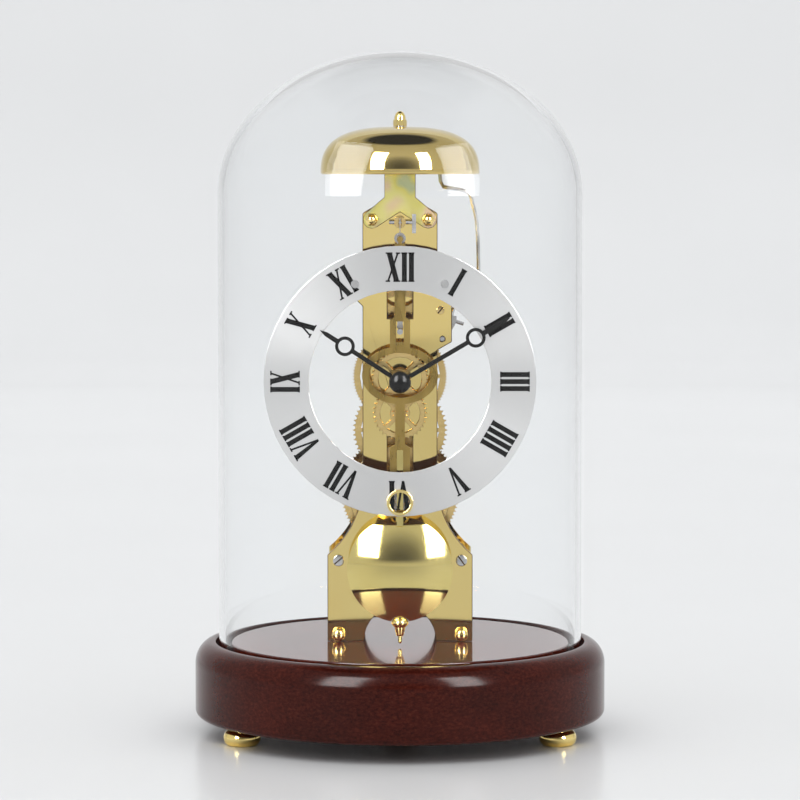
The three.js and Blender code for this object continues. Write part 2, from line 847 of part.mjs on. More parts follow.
function makeBarrel() {
  const radius = greatPitch - drumInset;
  const hole = circlePath(0, barrelZ, barrelNeckRadius + fit, 16);
  const teeth = outline(toothed(greatTeeth, greatModule, up, 0, barrelZ), [hole]);
  const drum = turnedAcross([
    [radius - drumWall, drumY],
    [radius, drumY],
    [radius, rearY + overlap],
    [radius - drumWall, rearY + overlap],
    [radius - drumWall, drumY],
  ], 0, barrelZ, 28);
  place('barrel', join(slab(teeth, rearY, greatWheelThickness), drum), brass);

  const cap = outline(circlePath(0, barrelZ, radius, 28), [hole]);
  place('barrel_cap', slab(cap, barrelCapY, barrelCapThickness), brass);

  const [inner, outer] = [springArborRadius + fit, radius - drumWall - fit - springStrip];
  const stepsPerTurn = 10;
  const steps = springTurns * stepsPerTurn;
  const edge = (offset) => Array.from({ length: steps + 1 }, (_, i) => {
    const angle = (i / stepsPerTurn) * 2 * Math.PI;
    const r = inner + offset + ((outer - inner) * i) / steps;
    return new THREE.Vector2(r * Math.cos(angle), barrelZ + r * Math.sin(angle));
  });
  const strip = outline([...edge(0), ...edge(springStrip).reverse()]);
  place('mainspring', slab(strip, drumY + springSide, rearY - drumY - 2 * springSide), steel);
}

function makeWinding() {
  const shaft = turnedAcross([
    [0, backPlateY - endInset],
    [barrelPivotRadius, backPlateY - endInset],
    [barrelPivotRadius, innerBack - endPlay],
    [barrelNeckRadius, innerBack - endPlay],
    [barrelNeckRadius, rearY - springArborSide],
    [springArborRadius, rearY - springArborSide],
    [springArborRadius, drumY + springArborSide],
    [barrelNeckRadius, drumY + springArborSide],
    [barrelNeckRadius, ratchetY - ratchetGap],
    [0, ratchetY - ratchetGap],
  ], 0, barrelZ, 20);
  const half = windingSquare / 2;
  const squareFront = rodBackY + squareGap;
  const squareShape = outline(box(-half, half, barrelZ - half, barrelZ + half));
  const square = slab(squareShape, squareFront, ratchetY + overlap - squareFront);
  place('barrel_arbor', join(shaft, square), steel);

  const points = [];
  const pitch = (2 * Math.PI) / ratchetTeeth;
  const root = ratchetRadius - ratchetToothDepth;
  for (let i = 0; i < ratchetTeeth; i += 1) {
    const start = i * pitch;
    const end = (i + ratchetToothShare) * pitch;
    points.push([root * Math.cos(start), barrelZ + root * Math.sin(start)]);
    points.push([ratchetRadius * Math.cos(end), barrelZ + ratchetRadius * Math.sin(end)]);
  }
  const ratchet = outline(corners(points), [circlePath(0, barrelZ, barrelNeckRadius + fit, 16)]);
  place('ratchet_wheel', slab(ratchet, ratchetY, ratchetThickness), steel);

  const tip = -ratchetRadius - fit;
  const pawl = outline(corners([
    [clickX - clickBackHalf, clickZ + clickHead],
    [clickX - clickNose, barrelZ + clickHead],
    [tip, barrelZ - endInset],
    [tip, barrelZ + clickNose],
    [clickX + clickFrontHalf, clickZ - overlap],
    [clickX + clickFrontHalf, clickZ + clickHead],
  ]));
  const pin = rodAcross(clickX, clickZ, pivotRadius, ratchetY + overlap, innerFront - endPlay, 12);
  place('click', join(slab(pawl, ratchetY, ratchetThickness), pin), steel);
}

// Going train

function pinion(leaves, module, phase, z, wheelY, thickness = wheelThickness) {
  const shape = outline(toothed(leaves, module, phase, 0, z));
  return slab(shape, wheelY - pinionOverhang, thickness + 2 * pinionOverhang);
}

// A pinion's shaft stays clear of the teeth that run between its leaves
function shaftRadius(leaves, module) {
  return Math.min(arborRadius, (leaves * module) / 2 - addendum * module - fit / 2);
}

function arborProfile(body) {
  const pivot = Math.min(pivotRadius, body * pivotShare);
  const [frontTip, backTip] = [frontPlateY + endInset, backPlateY - endInset];
  return [
    [0, frontTip],
    [pivot, frontTip],
    [pivot, innerFront + endPlay],
    [body, innerFront + endPlay],
    [body, innerBack - endPlay],
    [pivot, innerBack - endPlay],
    [pivot, backTip],
    [0, backTip],
  ];
}

function wheel(teeth, module, phase, z, frontY, spokes, turn, bore = arborRadius + fit) {
  const rim = (teeth * module) / 2 - dedendum * module - wheelRim;
  const holes = [circlePath(0, z, bore, 16), ...crossings(0, z, wheelHub, rim, spokes, turn)];
  return slab(outline(toothed(teeth, module, phase, 0, z), holes), frontY, wheelThickness);
}

function makeTrain() {
  const plain = (z, leaves, module) => turnedAcross(arborProfile(shaftRadius(leaves, module)), 0, z, 12);

  const intermediatePinion = pinion(intermediateLeaves, greatModule, gapFacing(down, intermediateLeaves),
    intermediateZ, rearY, greatWheelThickness);
  const intermediateShaft = plain(intermediateZ, intermediateLeaves, greatModule);
  place('intermediate_arbor', join(intermediateShaft, intermediatePinion), steel);
  const intermediateWheel = wheel(intermediateTeeth, intermediateModule, up,
    intermediateZ, intermediateY, 4, 0);
  place('intermediate_wheel', intermediateWheel, brass);

  const centerPinion = pinion(centerLeaves, intermediateModule, gapFacing(down, centerLeaves),
    centerZ, intermediateY);
  const centerShaft = turnedAcross([
    [0, capY - capBore],
    [centerPostRadius, capY - capBore],
    [centerPostRadius, frontPlateY - endPlay],
    [arborRadius, frontPlateY - endPlay],
    [arborRadius, innerBack - endPlay],
    [pivotRadius, innerBack - endPlay],
    [pivotRadius, backPlateY - endInset],
    [0, backPlateY - endInset],
  ], 0, centerZ, 12);
  const camSteps = 20;
  const camPoints = Array.from({ length: camSteps }, (_, i) => {
    const angle = (i * 2 * Math.PI) / camSteps;
    const r = strikeCamFoot + ((strikeCamRadius - strikeCamFoot) * i) / camSteps;
    return new THREE.Vector2(r * Math.cos(angle), centerZ + r * Math.sin(angle));
  });
  const cam = slab(outline(camPoints), hammerY - strikeCamThickness / 2, strikeCamThickness);
  place('center_arbor', join(centerShaft, centerPinion, cam), steel);
  place('center_wheel', wheel(centerTeeth, centerModule, up, centerZ, centerY, 5, 0), brass);

  const thirdPinion = pinion(thirdLeaves, centerModule, gapFacing(down, thirdLeaves), thirdZ, centerY);
  place('third_arbor', join(plain(thirdZ, thirdLeaves, centerModule), thirdPinion), steel);
  const thirdBore = shaftRadius(thirdLeaves, centerModule) + fit;
  place('third_wheel', wheel(thirdTeeth, thirdModule, up, thirdZ, rearY, 4, 0, thirdBore), brass);

  const escapePinion = pinion(escapeLeaves, thirdModule, gapFacing(down, escapeLeaves), escapeZ, rearY);
  place('escape_arbor', join(plain(escapeZ, escapeLeaves, thirdModule), escapePinion), steel);

  const teeth = [];
  const pitch = (2 * Math.PI) / escapeTeeth;
  const toothRoot = escapeRadius - escapeToothDepth;
  const steps = [[toothRoot, -escapeToothShare], [escapeRadius, 0], [toothRoot, escapeToothShare]];
  for (let i = 0; i < escapeTeeth; i += 1) {
    steps.forEach(([r, share]) => {
      const angle = up + (i + share) * pitch;
      teeth.push(new THREE.Vector2(r * Math.cos(angle), escapeZ + r * Math.sin(angle)));
    });
  }
  const holes = [
    circlePath(0, escapeZ, shaftRadius(escapeLeaves, thirdModule) + fit, 12),
    ...crossings(0, escapeZ, wheelHub, toothRoot - wheelRim, 4, 0),
  ];
  place('escape_wheel', slab(outline(teeth, holes), escapeY, wheelThickness), brass);
}

// Midway through the swing both pallets clear the escape wheel; at each end one dips into a gap
function makeAnchor() {
  const swing = (palletSpan * 2 * Math.PI) / escapeTeeth;
  const aboveWheel = (radius) => [radius * Math.sin(swing), escapeZ + radius * Math.cos(swing)];
  const [palletX, palletZ] = aboveWheel(escapeRadius + fit);
  const [kneeX, kneeZ] = aboveWheel(escapeRadius + palletRise);
  const right = [
    [anchorWaist, anchorZ - anchorDrop],
    [kneeX - palletHalfWidth, kneeZ],
    [palletX - palletHalfWidth, palletZ],
    [palletX + palletHalfWidth, palletZ],
    [kneeX + 3 * palletHalfWidth, kneeZ + anchorArmDepth],
    [anchorBodyHalf, anchorZ + anchorShoulder],
    [anchorWaist, anchorZ + anchorBodyHalf],
  ];
  const left = right.map(([x, z]) => [-x, z]).reverse();
  const anchor = outline(corners([...right, ...left]), [circlePath(0, anchorZ, arborRadius + fit, 14)]);
  place('anchor', slab(anchor, escapeY, wheelThickness), steel);

  const shaft = turnedAcross([
    [0, crutchY - crutchReach],
    [centerPostRadius, crutchY - crutchReach],
    [centerPostRadius, innerFront + endPlay],
    [arborRadius, innerFront + endPlay],
    [arborRadius, innerBack - endPlay],
    [centerPostRadius, innerBack - endPlay],
    [centerPostRadius, backPlateY - endInset],
    [0, backPlateY - endInset],
  ], 0, anchorZ, 12);
  place('anchor_arbor', shaft, steel);

  const flat = (shape) => slab(shape, crutchY - crutchThickness, crutchThickness);
  const hubBore = circlePath(0, anchorZ, centerPostRadius + fit, 14);
  const hub = flat(outline(circlePath(0, anchorZ, crutchHubRadius, 18), [hubBore]));
  const armTop = anchorZ - crutchHubRadius + overlap;
  const arm = flat(outline(box(-crutchHalfWidth, crutchHalfWidth, crutchPinZ - crutchFoot, armTop)));
  const pinBack = crutchY - crutchThickness / 2;
  const crutchPin = rodAcross(0, crutchPinZ, crutchPinRadius, rodFrontY - fit, pinBack, 12);
  place('crutch', join(hub, arm, crutchPin), steel);
}

// Motion work and hands

function pipe(inner, outer, y0, y1) {
  return turnedAcross([[inner, y0], [outer, y0], [outer, y1], [inner, y1], [inner, y0]], 0, centerZ, 16);
}

const cannonInner = centerPostRadius + fit;
const cannonOuter = cannonInner + pipeWall;
const hourInner = cannonOuter + fit;
const hourOuter = hourInner + pipeWall;

function makeMotionWork() {
  const cannonShape = outline(toothed(cannonLeaves, motionModule, gapFacing(down, cannonLeaves), 0, centerZ),
    [circlePath(0, centerZ, cannonInner + pipeWall / 2, 16)]);
  const minuteFront = minuteWheelY - wheelThickness;
  const cannonTeeth = slab(cannonShape, minuteFront, wheelThickness);
  const cannonSleeve = pipe(cannonInner, cannonOuter, capY + seat, frontPlateY - 2 * fit);
  place('cannon_pinion', join(cannonSleeve, cannonTeeth), brass);

  const hourFront = hourWheelY - wheelThickness;
  const minuteRim = (minuteTeeth * motionModule) / 2 - dedendum * motionModule - motionRim;
  const minuteHoles = crossings(0, minuteZ, minuteHub, minuteRim, 4, up / 2);
  const minuteShape = outline(toothed(minuteTeeth, motionModule, up, 0, minuteZ), minuteHoles);
  const minuteArbor = rodAcross(0, minuteZ, pivotRadius, hourFront - 2 * fit, innerFront - endPlay, 14);
  const pinionFront = hourFront - fit;
  const minutePinion = slab(outline(toothed(minuteLeaves, hourModule, up, 0, minuteZ)), pinionFront,
    minuteFront + overlap - pinionFront);
  place('minute_wheel', join(slab(minuteShape, minuteFront, wheelThickness), minuteArbor, minutePinion), brass);

  const hourRim = (hourTeeth * hourModule) / 2 - dedendum * hourModule - motionRim;
  const hourHoles = [
    circlePath(0, centerZ, hourInner + pipeWall / 2, 16),
    ...crossings(0, centerZ, hourOuter + hourHubWidth, hourRim, 4, up / 2),
  ];
  const hourShape = outline(toothed(hourTeeth, hourModule, gapFacing(down, hourTeeth), 0, centerZ), hourHoles);
  const hourSleeve = pipe(hourInner, hourOuter, hourHandY - handThickness - fit, hourWheelY + fit);
  place('hour_wheel', join(slab(hourShape, hourFront, wheelThickness), hourSleeve), brass);
}

// A hand that points up: hub, bar, open ring and tapering tip
function handOutline(bore, length, ringReach) {
  const half = handBar / 2;
  const innerRing = handRingRadius - handRingWidth;
  const ringMiddle = handRingRadius - handRingWidth / 2;
  const ring = outline(circlePath(0, ringReach, handRingRadius, 24), [circlePath(0, ringReach, innerRing, 20)]);
  const hub = outline(circlePath(0, 0, bore + handHubWidth, 20), [circlePath(0, 0, bore, 16)]);
  const bar = outline(box(-half, half, bore + handHubWidth / 2, ringReach - ringMiddle));
  const tip = outline(corners([
    [-handTipHalfWidth, ringReach + ringMiddle],
    [handTipHalfWidth, ringReach + ringMiddle],
    [half, length - handPoint],
    [0, length],
    [-half, length - handPoint],
  ]));
  return [hub, bar, ring, tip];
}

function makeHands() {
  const hand = (name, bore, frontY, length, ringReach, degrees) => {
    const shapes = handOutline(bore, length, ringReach);
    const pieces = shapes.map((shape) => slab(shape, frontY, handThickness));
    const angle = THREE.MathUtils.degToRad(degrees);
    place(name, join(...pieces).rotateY(angle).translate(0, 0, centerZ), black);
  };
  const [hourFront, minuteFront] = [hourHandY - handThickness, minuteHandY - handThickness];
  hand('hour_hand', hourOuter + fit, hourFront, hourHandLength, hourRingReach, hourAngle);
  hand('minute_hand', cannonOuter + fit, minuteFront, minuteHandLength, minuteRingReach, minuteAngle);

  const profile = [
    [0, capY - capBore - fit],
    [centerPostRadius + fit, capY - capBore - fit],
    [centerPostRadius + fit, capY],
    [capRadius, capY],
    ...arc(0, capY - capRim, capRadius, capHeight, 0, -up, 5).slice(0, -1),
    [0, capY - capRim - capHeight],
  ];
  place('hand_cap', turnedAcross(profile, 0, centerZ, 18), black);
}

// Dial

function makeDial() {
  const eyeletOuter = eyeletBore + eyeletWall;
  const pillarXs = [-dialPillarX, dialPillarX];
  const holes = [
    circlePath(0, centerZ, dialInner, 52),
    circlePath(0, barrelZ, eyeletOuter + fit, 20),
    ...pillarXs.map((x) => circlePath(x, dialPillarZ, screwRadius + fit, 12)),
  ];
  const ring = outline(circlePath(0, centerZ, dialOuter, 60), holes);
  place('dial', slab(ring, dialFrontY, dialThickness), silver);

  const head = dialFrontY - seat;
  place('winding_eyelet', turnedAcross([
    [eyeletBore, head - eyeletFlange],
    [eyeletRadius, head - eyeletFlange],
    [eyeletRadius, head],
    [eyeletOuter, head],
    [eyeletOuter, dialBackY + eyeletLip],
    [eyeletBore, dialBackY + eyeletLip],
    [eyeletBore, head - eyeletFlange],
  ], 0, barrelZ, 18), brass);

  const headRadius = screwRadius + fit + dialScrewOverlap;
  pillarXs.forEach((x) => {
    const pillar = turnedAcross([
      [0, innerFront + endInset],
      [screwRadius, innerFront + endInset],
      [screwRadius, frontPlateY - seat],
      [dialPillarRadius, frontPlateY - seat],
      [dialPillarRadius, dialBackY + seat],
      [screwRadius, dialBackY + seat],
      [screwRadius, head],
      [headRadius, head],
      [headRadius, head - dialScrewHeight],
      [0, head - dialScrewHeight],
    ], x, dialPillarZ, 12);
    place(x < 0 ? 'dial_pillar_left' : 'dial_pillar_right', pillar, steel);
  });
}

// Pendulum

function makeSuspension() {
  const stud = turnedAcross([
    [0, innerFront],
    [tenonRadius, innerFront],
    [tenonRadius, frontPlateY - seat],
    [stanchionRadius, frontPlateY - seat],
    [stanchionRadius, stanchionFrontY],
    [0, stanchionFrontY],
  ], 0, suspensionZ, 20);
  const springHalf = springThickness / 2;
  const springTop = suspensionZ + springRise;
  const slotHalf = springHalf + fit + seat;
  const slotReach = springWidth + 2 * springSideGap;
  const slotShape = outline(box(-slotHalf, slotHalf, suspensionZ - stanchionRadius - overrun, springTop + fit));
  const slot = slab(slotShape, stanchionFrontY - overrun, slotReach + overrun);
  const pinY = stanchionFrontY + slotReach / 2;
  const [pinLeft, pinRight] = [-stanchionRadius - pinOverhangLeft, stanchionRadius + pinOverhangRight];
  const alongX = (radius) => turned([[0, pinLeft], [radius, pinLeft], [radius, pinRight], [0, pinRight]], 12)
    .rotateZ(-up).translate(0, pinY, suspensionZ);
  const pinBore = alongX(tipRadius + fit);
  place('suspension_stud', cut(stud, slot, pinBore), brass);

  const flagLeft = pinRight - overlap;
  const [flagFoot, flagTop] = [suspensionZ - pinFlagDrop, suspensionZ + pinFlagRise];
  const flagShape = outline(box(flagLeft, flagLeft + pinFlagWidth, flagFoot, flagTop));
  const flag = slab(flagShape, pinY - pinFlagThickness / 2, pinFlagThickness);
  place('suspension_pin', join(alongX(tipRadius), flag), steel);

  const strip = outline(box(-springHalf, springHalf, rodTopZ + fit, springTop));
  const blade = slab(strip, pinY - springWidth / 2, springWidth);
  place('suspension_spring', cut(blade, pinBore), steel);
}

function makePendulum() {
  const flat = (shape) => slab(shape, rodFrontY, rodThickness);
  const oval = (rx, rz, steps) => corners(arc(0, ringZ, rx, rz, 0, 2 * Math.PI, steps).slice(0, -1));
  const ringHole = oval(ringHalfWidth - ringWidth, ringHalfHeight - ringEndWidth, 32);
  const ring = flat(outline(oval(ringHalfWidth, ringHalfHeight, 36), [ringHole]));
  const ringOverlap = ringHalfHeight - ringEndWidth / 2;
  const linkFoot = rodTopZ - rodLinkLength;
  const upper = flat(outline(box(-rodHalfWidth, rodHalfWidth, neckTopZ - overlap, linkFoot)));
  const eye = flat(outline(circlePath(0, rodTopZ - rodEyeRadius, rodEyeRadius, 14)));
  const linkHalf = rodLinkHalfWidth;
  const link = flat(outline(box(-linkHalf, linkHalf, linkFoot - overlap, rodTopZ - rodEyeRadius)));

  // A wide plate whose top corners slope in to the rod's width
  const widened = (foot, top, rodHalf) => corners([
    [-neckHalfWidth, foot],
    [neckHalfWidth, foot],
    [neckHalfWidth, top - neckChamfer],
    [rodHalf, top],
    [-rodHalf, top],
    [-neckHalfWidth, top - neckChamfer],
  ]);
  const slotHalf = crutchSlot / 2;
  const slotFoot = crutchPinZ - crutchSlotLength / 2;
  const slot = box(-slotHalf, slotHalf, slotFoot, slotFoot + crutchSlotLength);
  const neck = flat(outline(widened(ringZ + ringOverlap, neckTopZ, rodHalfWidth), [slot]));
  const lowerHalf = lowerRodHalfWidth;
  const lower = flat(outline(box(-lowerHalf, lowerHalf, shoeTopZ - overlap, ringZ - ringOverlap)));
  const shoe = flat(outline(widened(shoeTopZ - shoeLength, shoeTopZ, lowerHalf)));
  place('pendulum_rod', join(ring, neck, upper, link, eye, lower, shoe), darkBrass);

  const lens = (r) => bobRimHalf + (bobHalfThickness - bobRimHalf) * (1 - (r / bobRadius) ** 2);
  const stripBackY = rodFrontY - seat;
  const bobY = stripBackY - bobStripSink + lens(bobRadius - bobOverlap);
  const bobFoot = bobZ - bobRadius;
  const bands = 5;
  const face = Array.from({ length: bands + 1 }, (_, i) => (bobRadius * i) / bands);
  const profile = [
    ...face.map((r) => [r, bobY - lens(r)]),
    ...face.reverse().map((r) => [r, bobY + lens(r)]),
  ];
  const tipEnd = baseTop + tipGap;
  const tip = turnedUpright([
    [0, tipEnd],
    [tipPointRadius, tipEnd],
    [tipRadius, tipEnd + tipChamfer],
    [tipRadius, bobFoot + tipRoot],
    [0, bobFoot + tipRoot],
  ], 0, bobY, 14);
  const stripHalf = bobStripHalfWidth;
  const strip = slab(outline(box(-stripHalf, stripHalf, stripEndZ, shoeTopZ - bobStripDrop)),
    stripBackY - bobStripThickness, bobStripThickness);
  const nestHalf = nutKnobRadius + fit;
  const nestShape = outline(box(-nestHalf, nestHalf, bobFoot - overrun, nutTopZ + fit));
  const nest = slab(nestShape, bobY - bobHalfThickness, 2 * bobHalfThickness);
  place('bob', join(cut(turnedAcross(profile, 0, bobZ, 32), nest), tip, strip), brass);

  const bore = tipRadius + fit;
  const knobHalf = nutKnobHeight / 2;
  const knobFoot = nutTopZ - nutKnobHeight;
  place('rating_nut', turnedUpright([
    [bore, nutTopZ],
    ...arc(0, nutTopZ - knobHalf, nutKnobRadius, knobHalf, up * knobShare, down * knobShare, 4),
    [nutNeckRadius + nutNeckFlare, knobFoot - nutNeckDrop],
    [nutNeckRadius, nutBottomZ],
    [bore, nutBottomZ],
    [bore, nutTopZ],
  ], 0, bobY, 16), brass);
}

// Bell and hammer

function makeBell() {
  const backFace = frontPlateY - seat;
  const stripFront = backFace - bracketThickness;
  const neckZ = topPillarZ + bracketEarRadius + bracketNeckRise;
  const notchZ = suspensionZ + stanchionRadius + bracketNotchGap;
  const ear = arc(topPillarX, topPillarZ, bracketEarRadius, bracketEarRadius, bracketEarFrom, bracketEarTo, 5);
  const right = [[bracketHalfWidth, flangeTop], [bracketHalfWidth, neckZ], ...ear];
  const left = right.map(([x, z]) => [-x, z]).reverse();
  const holes = [-topPillarX, topPillarX].map((x) => circlePath(x, topPillarZ, screwRadius + fit, 14));
  const strip = slab(outline(corners([...right, [0, notchZ], ...left]), holes), stripFront, bracketThickness);
  const tongueShape = box(-bracketHalfWidth, bracketHalfWidth, flangeTop - bracketThickness, flangeTop);
  const tongue = slab(outline(tongueShape), stripFront, hammerY + bracketHalfWidth - stripFront);
  const boss = rodUpright(0, hammerY, bossRadius, flangeTop - overlap, bossTop, 16);
  const bellBore = bellBoltRadius + fit;
  const holeFoot = flangeTop - bracketThickness - overrun;
  const boltHole = rodUpright(0, hammerY, bellBore, holeFoot, bossTop + overrun, 14);
  place('bell_bracket', cut(join(strip, tongue, boss), boltHole), zinc);

  const bowl = (radius, height) => crown(radius, height, bellRoundness, 8).slice(0, -1)
    .map(([r, h]) => [r, bellRimZ + h]);
  const outer = bowl(bellRadius, bellHeight);
  const inner = bowl(bellInner, bellInnerHeight).reverse();
  const top = [[bellBore, bellTop], [bellBore, bellTop - bellWall]];
  place('bell', turnedUpright([...outer, ...top, ...inner, outer[0]], 0, hammerY, 32), brass);

  const headTop = flangeTop - bracketThickness - seat;
  const nutFoot = bellTop + seat;
  const boltEnd = nutFoot + bellBoltReach;
  place('bell_bolt', turnedUpright([
    [0, headTop - bellBoltHeadHeight],
    [bellBoltHead, headTop - bellBoltHeadHeight],
    [bellBoltHead, headTop],
    [bellBoltRadius, headTop],
    [bellBoltRadius, boltEnd],
    [0, boltEnd],
  ], 0, hammerY, 18), steel);

  const hexHeight = bellNutHexHeight;
  const hexPrism = new THREE.CylinderGeometry(bellNutRadius, bellNutRadius, hexHeight, 6)
    .rotateX(up).translate(0, hammerY, nutFoot + hexHeight / 2);
  const domeFoot = nutFoot + hexHeight + bellNutRim;
  const acorn = turnedUpright([
    [0, nutFoot + bellNutRim],
    [bellNutDomeRadius, nutFoot + bellNutRim],
    ...arc(0, domeFoot, bellNutDomeRadius, bellNutTop - domeFoot, 0, up, 5).slice(0, -1),
    [0, bellNutTop],
  ], 0, hammerY, 20);
  const thread = rodUpright(0, hammerY, bellBoltRadius + fit / 2, nutFoot - overrun, boltEnd + fit, 16);
  place('bell_nut', cut(join(hexPrism, acorn), thread), brass);
}

function makeHammer() {
  const hubHalf = hammerHubLength / 2;
  const hub = rodAcross(hammerX, hammerZ, hammerHubRadius, hammerY - hubHalf, hammerY + hubHalf, 16);
  const socketX = hammerX + socketShift;
  const socketZ = hammerZ + socketRise;
  const socketFloor = socketZ - socketDepth;
  const leverShape = outline(corners([
    [hammerX - leverHalfWidth, hammerZ],
    [hammerX + leverHalfWidth, hammerZ - leverLead],
    [socketX + leverHalfWidth, socketZ - leverHalfWidth],
    [socketX + leverHalfWidth, socketZ + socketRim],
    [socketX - leverHalfWidth, socketZ + socketRim],
  ]));
  const lever = slab(leverShape, hammerY - leverThickness / 2, leverThickness);
  const toCenter = Math.atan2(centerZ - hammerZ, -hammerX);
  const tailLength = hammerToCenter - strikeCamRadius - hammerTailGap;
  const tailShape = outline(box(0, tailLength, -tailHalfWidth, tailHalfWidth));
  const tail = slab(tailShape, hammerY - tailThickness / 2, tailThickness)
    .rotateY(-toCenter).translate(hammerX, 0, hammerZ);
  const stop = turned([[0, 0], [stopRadius, 0], [stopRadius, stopLength], [0, stopLength]], 10)
    .rotateZ(-up).rotateY(stopTilt).translate(socketX, hammerY, socketFloor);
  const shaft = turnedAcross(arborProfile(arborRadius), hammerX, hammerZ, 12);
  const wireBore = hammerWireRadius + fit;
  const socket = rodUpright(socketX, hammerY, wireBore, socketFloor, socketZ + socketRim + overrun, 12);
  place('hammer_arbor', cut(join(shaft, hub, lever, tail, stop), socket), steel);

  const headZ = bellRimZ + hammerHeadRise;
  const headFoot = headZ - hammerHeadRadius;
  const wall = crown(bellInner, bellInnerHeight, bellRoundness, 40).reverse();
  const [wallAcross] = wall.find(([, h]) => bellRimZ + h <= headZ + hammerHeadRadius);
  const headEnd = wallAcross - hammerStrikeGap;
  const headStart = headEnd - hammerHeadLength;
  const wireX = headStart + headWireInset;
  const jogZ = bellRimZ - jogDrop;
  const elbowX = bellRadius - elbowInset;
  const bowX = elbowX + wireBow;
  const route = [
    [socketX, socketFloor + fit],
    [socketX, socketZ + wireBend],
    [socketX + wireBend, socketZ + wireRun / 2],
    [bowX - wireStep, socketZ + wireRun],
    [bowX, socketZ + wireRun + wireBow],
    [bowX - wireStep, jogZ - wireRun],
    [elbowX + wireStep, jogZ - wireRun / 2],
    [elbowX, jogZ - wireBend],
    [elbowX - wireBend, jogZ - wireStep],
    [wireX + wireBow, jogZ + wireStep / 2],
    [wireX + wireStep, jogZ + wireBend / 2],
    [wireX, jogZ + wireRun / 3],
    [wireX, headFoot - fit],
  ].map(([x, z]) => new THREE.Vector3(x, hammerY, z));
  const extrudePath = new THREE.CatmullRomCurve3(route, false, 'centripetal');
  const section = new THREE.Shape(circlePath(0, 0, hammerWireRadius, 6));
  const wire = new THREE.ExtrudeGeometry(section, { steps: 30, bevelEnabled: false, extrudePath });
  const tenon = rodUpright(wireX, hammerY, headTenonRadius, headFoot - fit - overlap, headZ + headTenon, 12);
  place('hammer_wire', join(wire, tenon), steel);

  const edge = hammerHeadEdge;
  const head = turned([
    [0, headStart],
    [hammerHeadRadius - edge, headStart],
    [hammerHeadRadius, headStart + edge],
    [hammerHeadRadius, headEnd - edge],
    [hammerHeadRadius - edge, headEnd],
    [0, headEnd],
  ], 18).rotateZ(-up).translate(0, hammerY, headZ);
  const headBore = rodUpright(wireX, hammerY, wireBore, headFoot - overrun, headZ + headTenon + fit, 12);
  place('hammer_head', cut(head, headBore), brass);
}

makeBase();
makeFelt();
makeFeet();
makeDome();
makePlates();
makePillars();
makePlateFasteners();
makeBarrel();
makeWinding();
makeTrain();
makeAnchor();
makeMotionWork();
makeHands();
makeDial();
makeSuspension();
makePendulum();
makeBell();
makeHammer();

export default clock;
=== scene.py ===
import math

import bmesh
import bpy
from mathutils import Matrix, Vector


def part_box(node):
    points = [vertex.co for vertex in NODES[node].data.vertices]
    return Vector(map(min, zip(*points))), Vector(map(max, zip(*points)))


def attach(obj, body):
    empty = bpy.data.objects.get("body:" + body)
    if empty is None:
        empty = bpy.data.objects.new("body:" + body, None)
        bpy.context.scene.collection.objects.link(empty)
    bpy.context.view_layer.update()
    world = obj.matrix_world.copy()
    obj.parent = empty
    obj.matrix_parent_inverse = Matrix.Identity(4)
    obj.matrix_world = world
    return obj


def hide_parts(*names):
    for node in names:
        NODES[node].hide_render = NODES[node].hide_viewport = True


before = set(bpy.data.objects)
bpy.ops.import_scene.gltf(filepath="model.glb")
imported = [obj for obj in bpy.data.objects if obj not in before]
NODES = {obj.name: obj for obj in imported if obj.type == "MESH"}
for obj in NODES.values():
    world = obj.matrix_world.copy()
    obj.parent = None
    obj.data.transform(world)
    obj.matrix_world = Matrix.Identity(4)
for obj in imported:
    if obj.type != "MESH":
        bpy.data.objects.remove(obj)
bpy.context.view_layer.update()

MM = 0.001
TAU = 2 * math.pi
TINY = 1e-7
WIDE_SIDES = 200
KNOB_SIDES = 64
SMALL_SIDES = 48
HEX_SIDES = 6
EDGE_STEPS = 4
LIP_STEPS = 8
CAP_STEPS = 12
KNOB_STEPS = 16
ROUND_STEPS = 20
CUT_ANGLE = 30
TURNED_ANGLE = 40
SOFT_ANGLE = 60
SEAT_GAP = 0.1 * MM


# Node helpers

def new_material(name):
    material = bpy.data.materials.new(name)
    material.use_nodes = True
    tree = material.node_tree
    shader = tree.nodes["Principled BSDF"]
    return material, tree, shader


def set_sockets(shader, values):
    for socket, value in values.items():
        shader.inputs[socket].default_value = value


def link(tree, source, output, target, socket):
    tree.links.new(source.outputs[output], target.inputs[socket])


def noise(tree, scale, detail, stretch=(1, 1, 1), roughness=0.5):
    coords = tree.nodes.new("ShaderNodeTexCoord")
    mapping = tree.nodes.new("ShaderNodeMapping")
    texture = tree.nodes.new("ShaderNodeTexNoise")
    set_sockets(mapping, {"Scale": stretch})
    set_sockets(texture, {"Scale": scale, "Detail": detail, "Roughness": roughness})
    link(tree, coords, "Object", mapping, "Vector")
    link(tree, mapping, "Vector", texture, "Vector")
    return texture


def grey(value):
    return (value, value, value)


def ramp(tree, source, output, stops):
    node = tree.nodes.new("ShaderNodeValToRGB")
    elements = node.color_ramp.elements
    while len(elements) < len(stops):
        elements.new(0.5)
    for element, (position, colour) in zip(elements, stops):
        element.position = position
        element.color = (*colour, 1)
    link(tree, source, output, node, "Fac")
    return node


def vector_math(tree, operation, source, output, constant=None):
    node = tree.nodes.new("ShaderNodeVectorMath")
    node.operation = operation
    link(tree, source, output, node, 0)
    if constant:
        node.inputs[1].default_value = constant
    return node


def multiply(tree, one, two):
    node = vector_math(tree, "MULTIPLY", one, "Color")
    link(tree, two, "Color", node, 1)
    return node


def bump(tree, source, shader, strength, distance):
    node = tree.nodes.new("ShaderNodeBump")
    set_sockets(node, {"Strength": strength, "Distance": distance})
    link(tree, source, "Fac", node, "Height")
    link(tree, node, "Normal", shader, "Normal")


# Materials

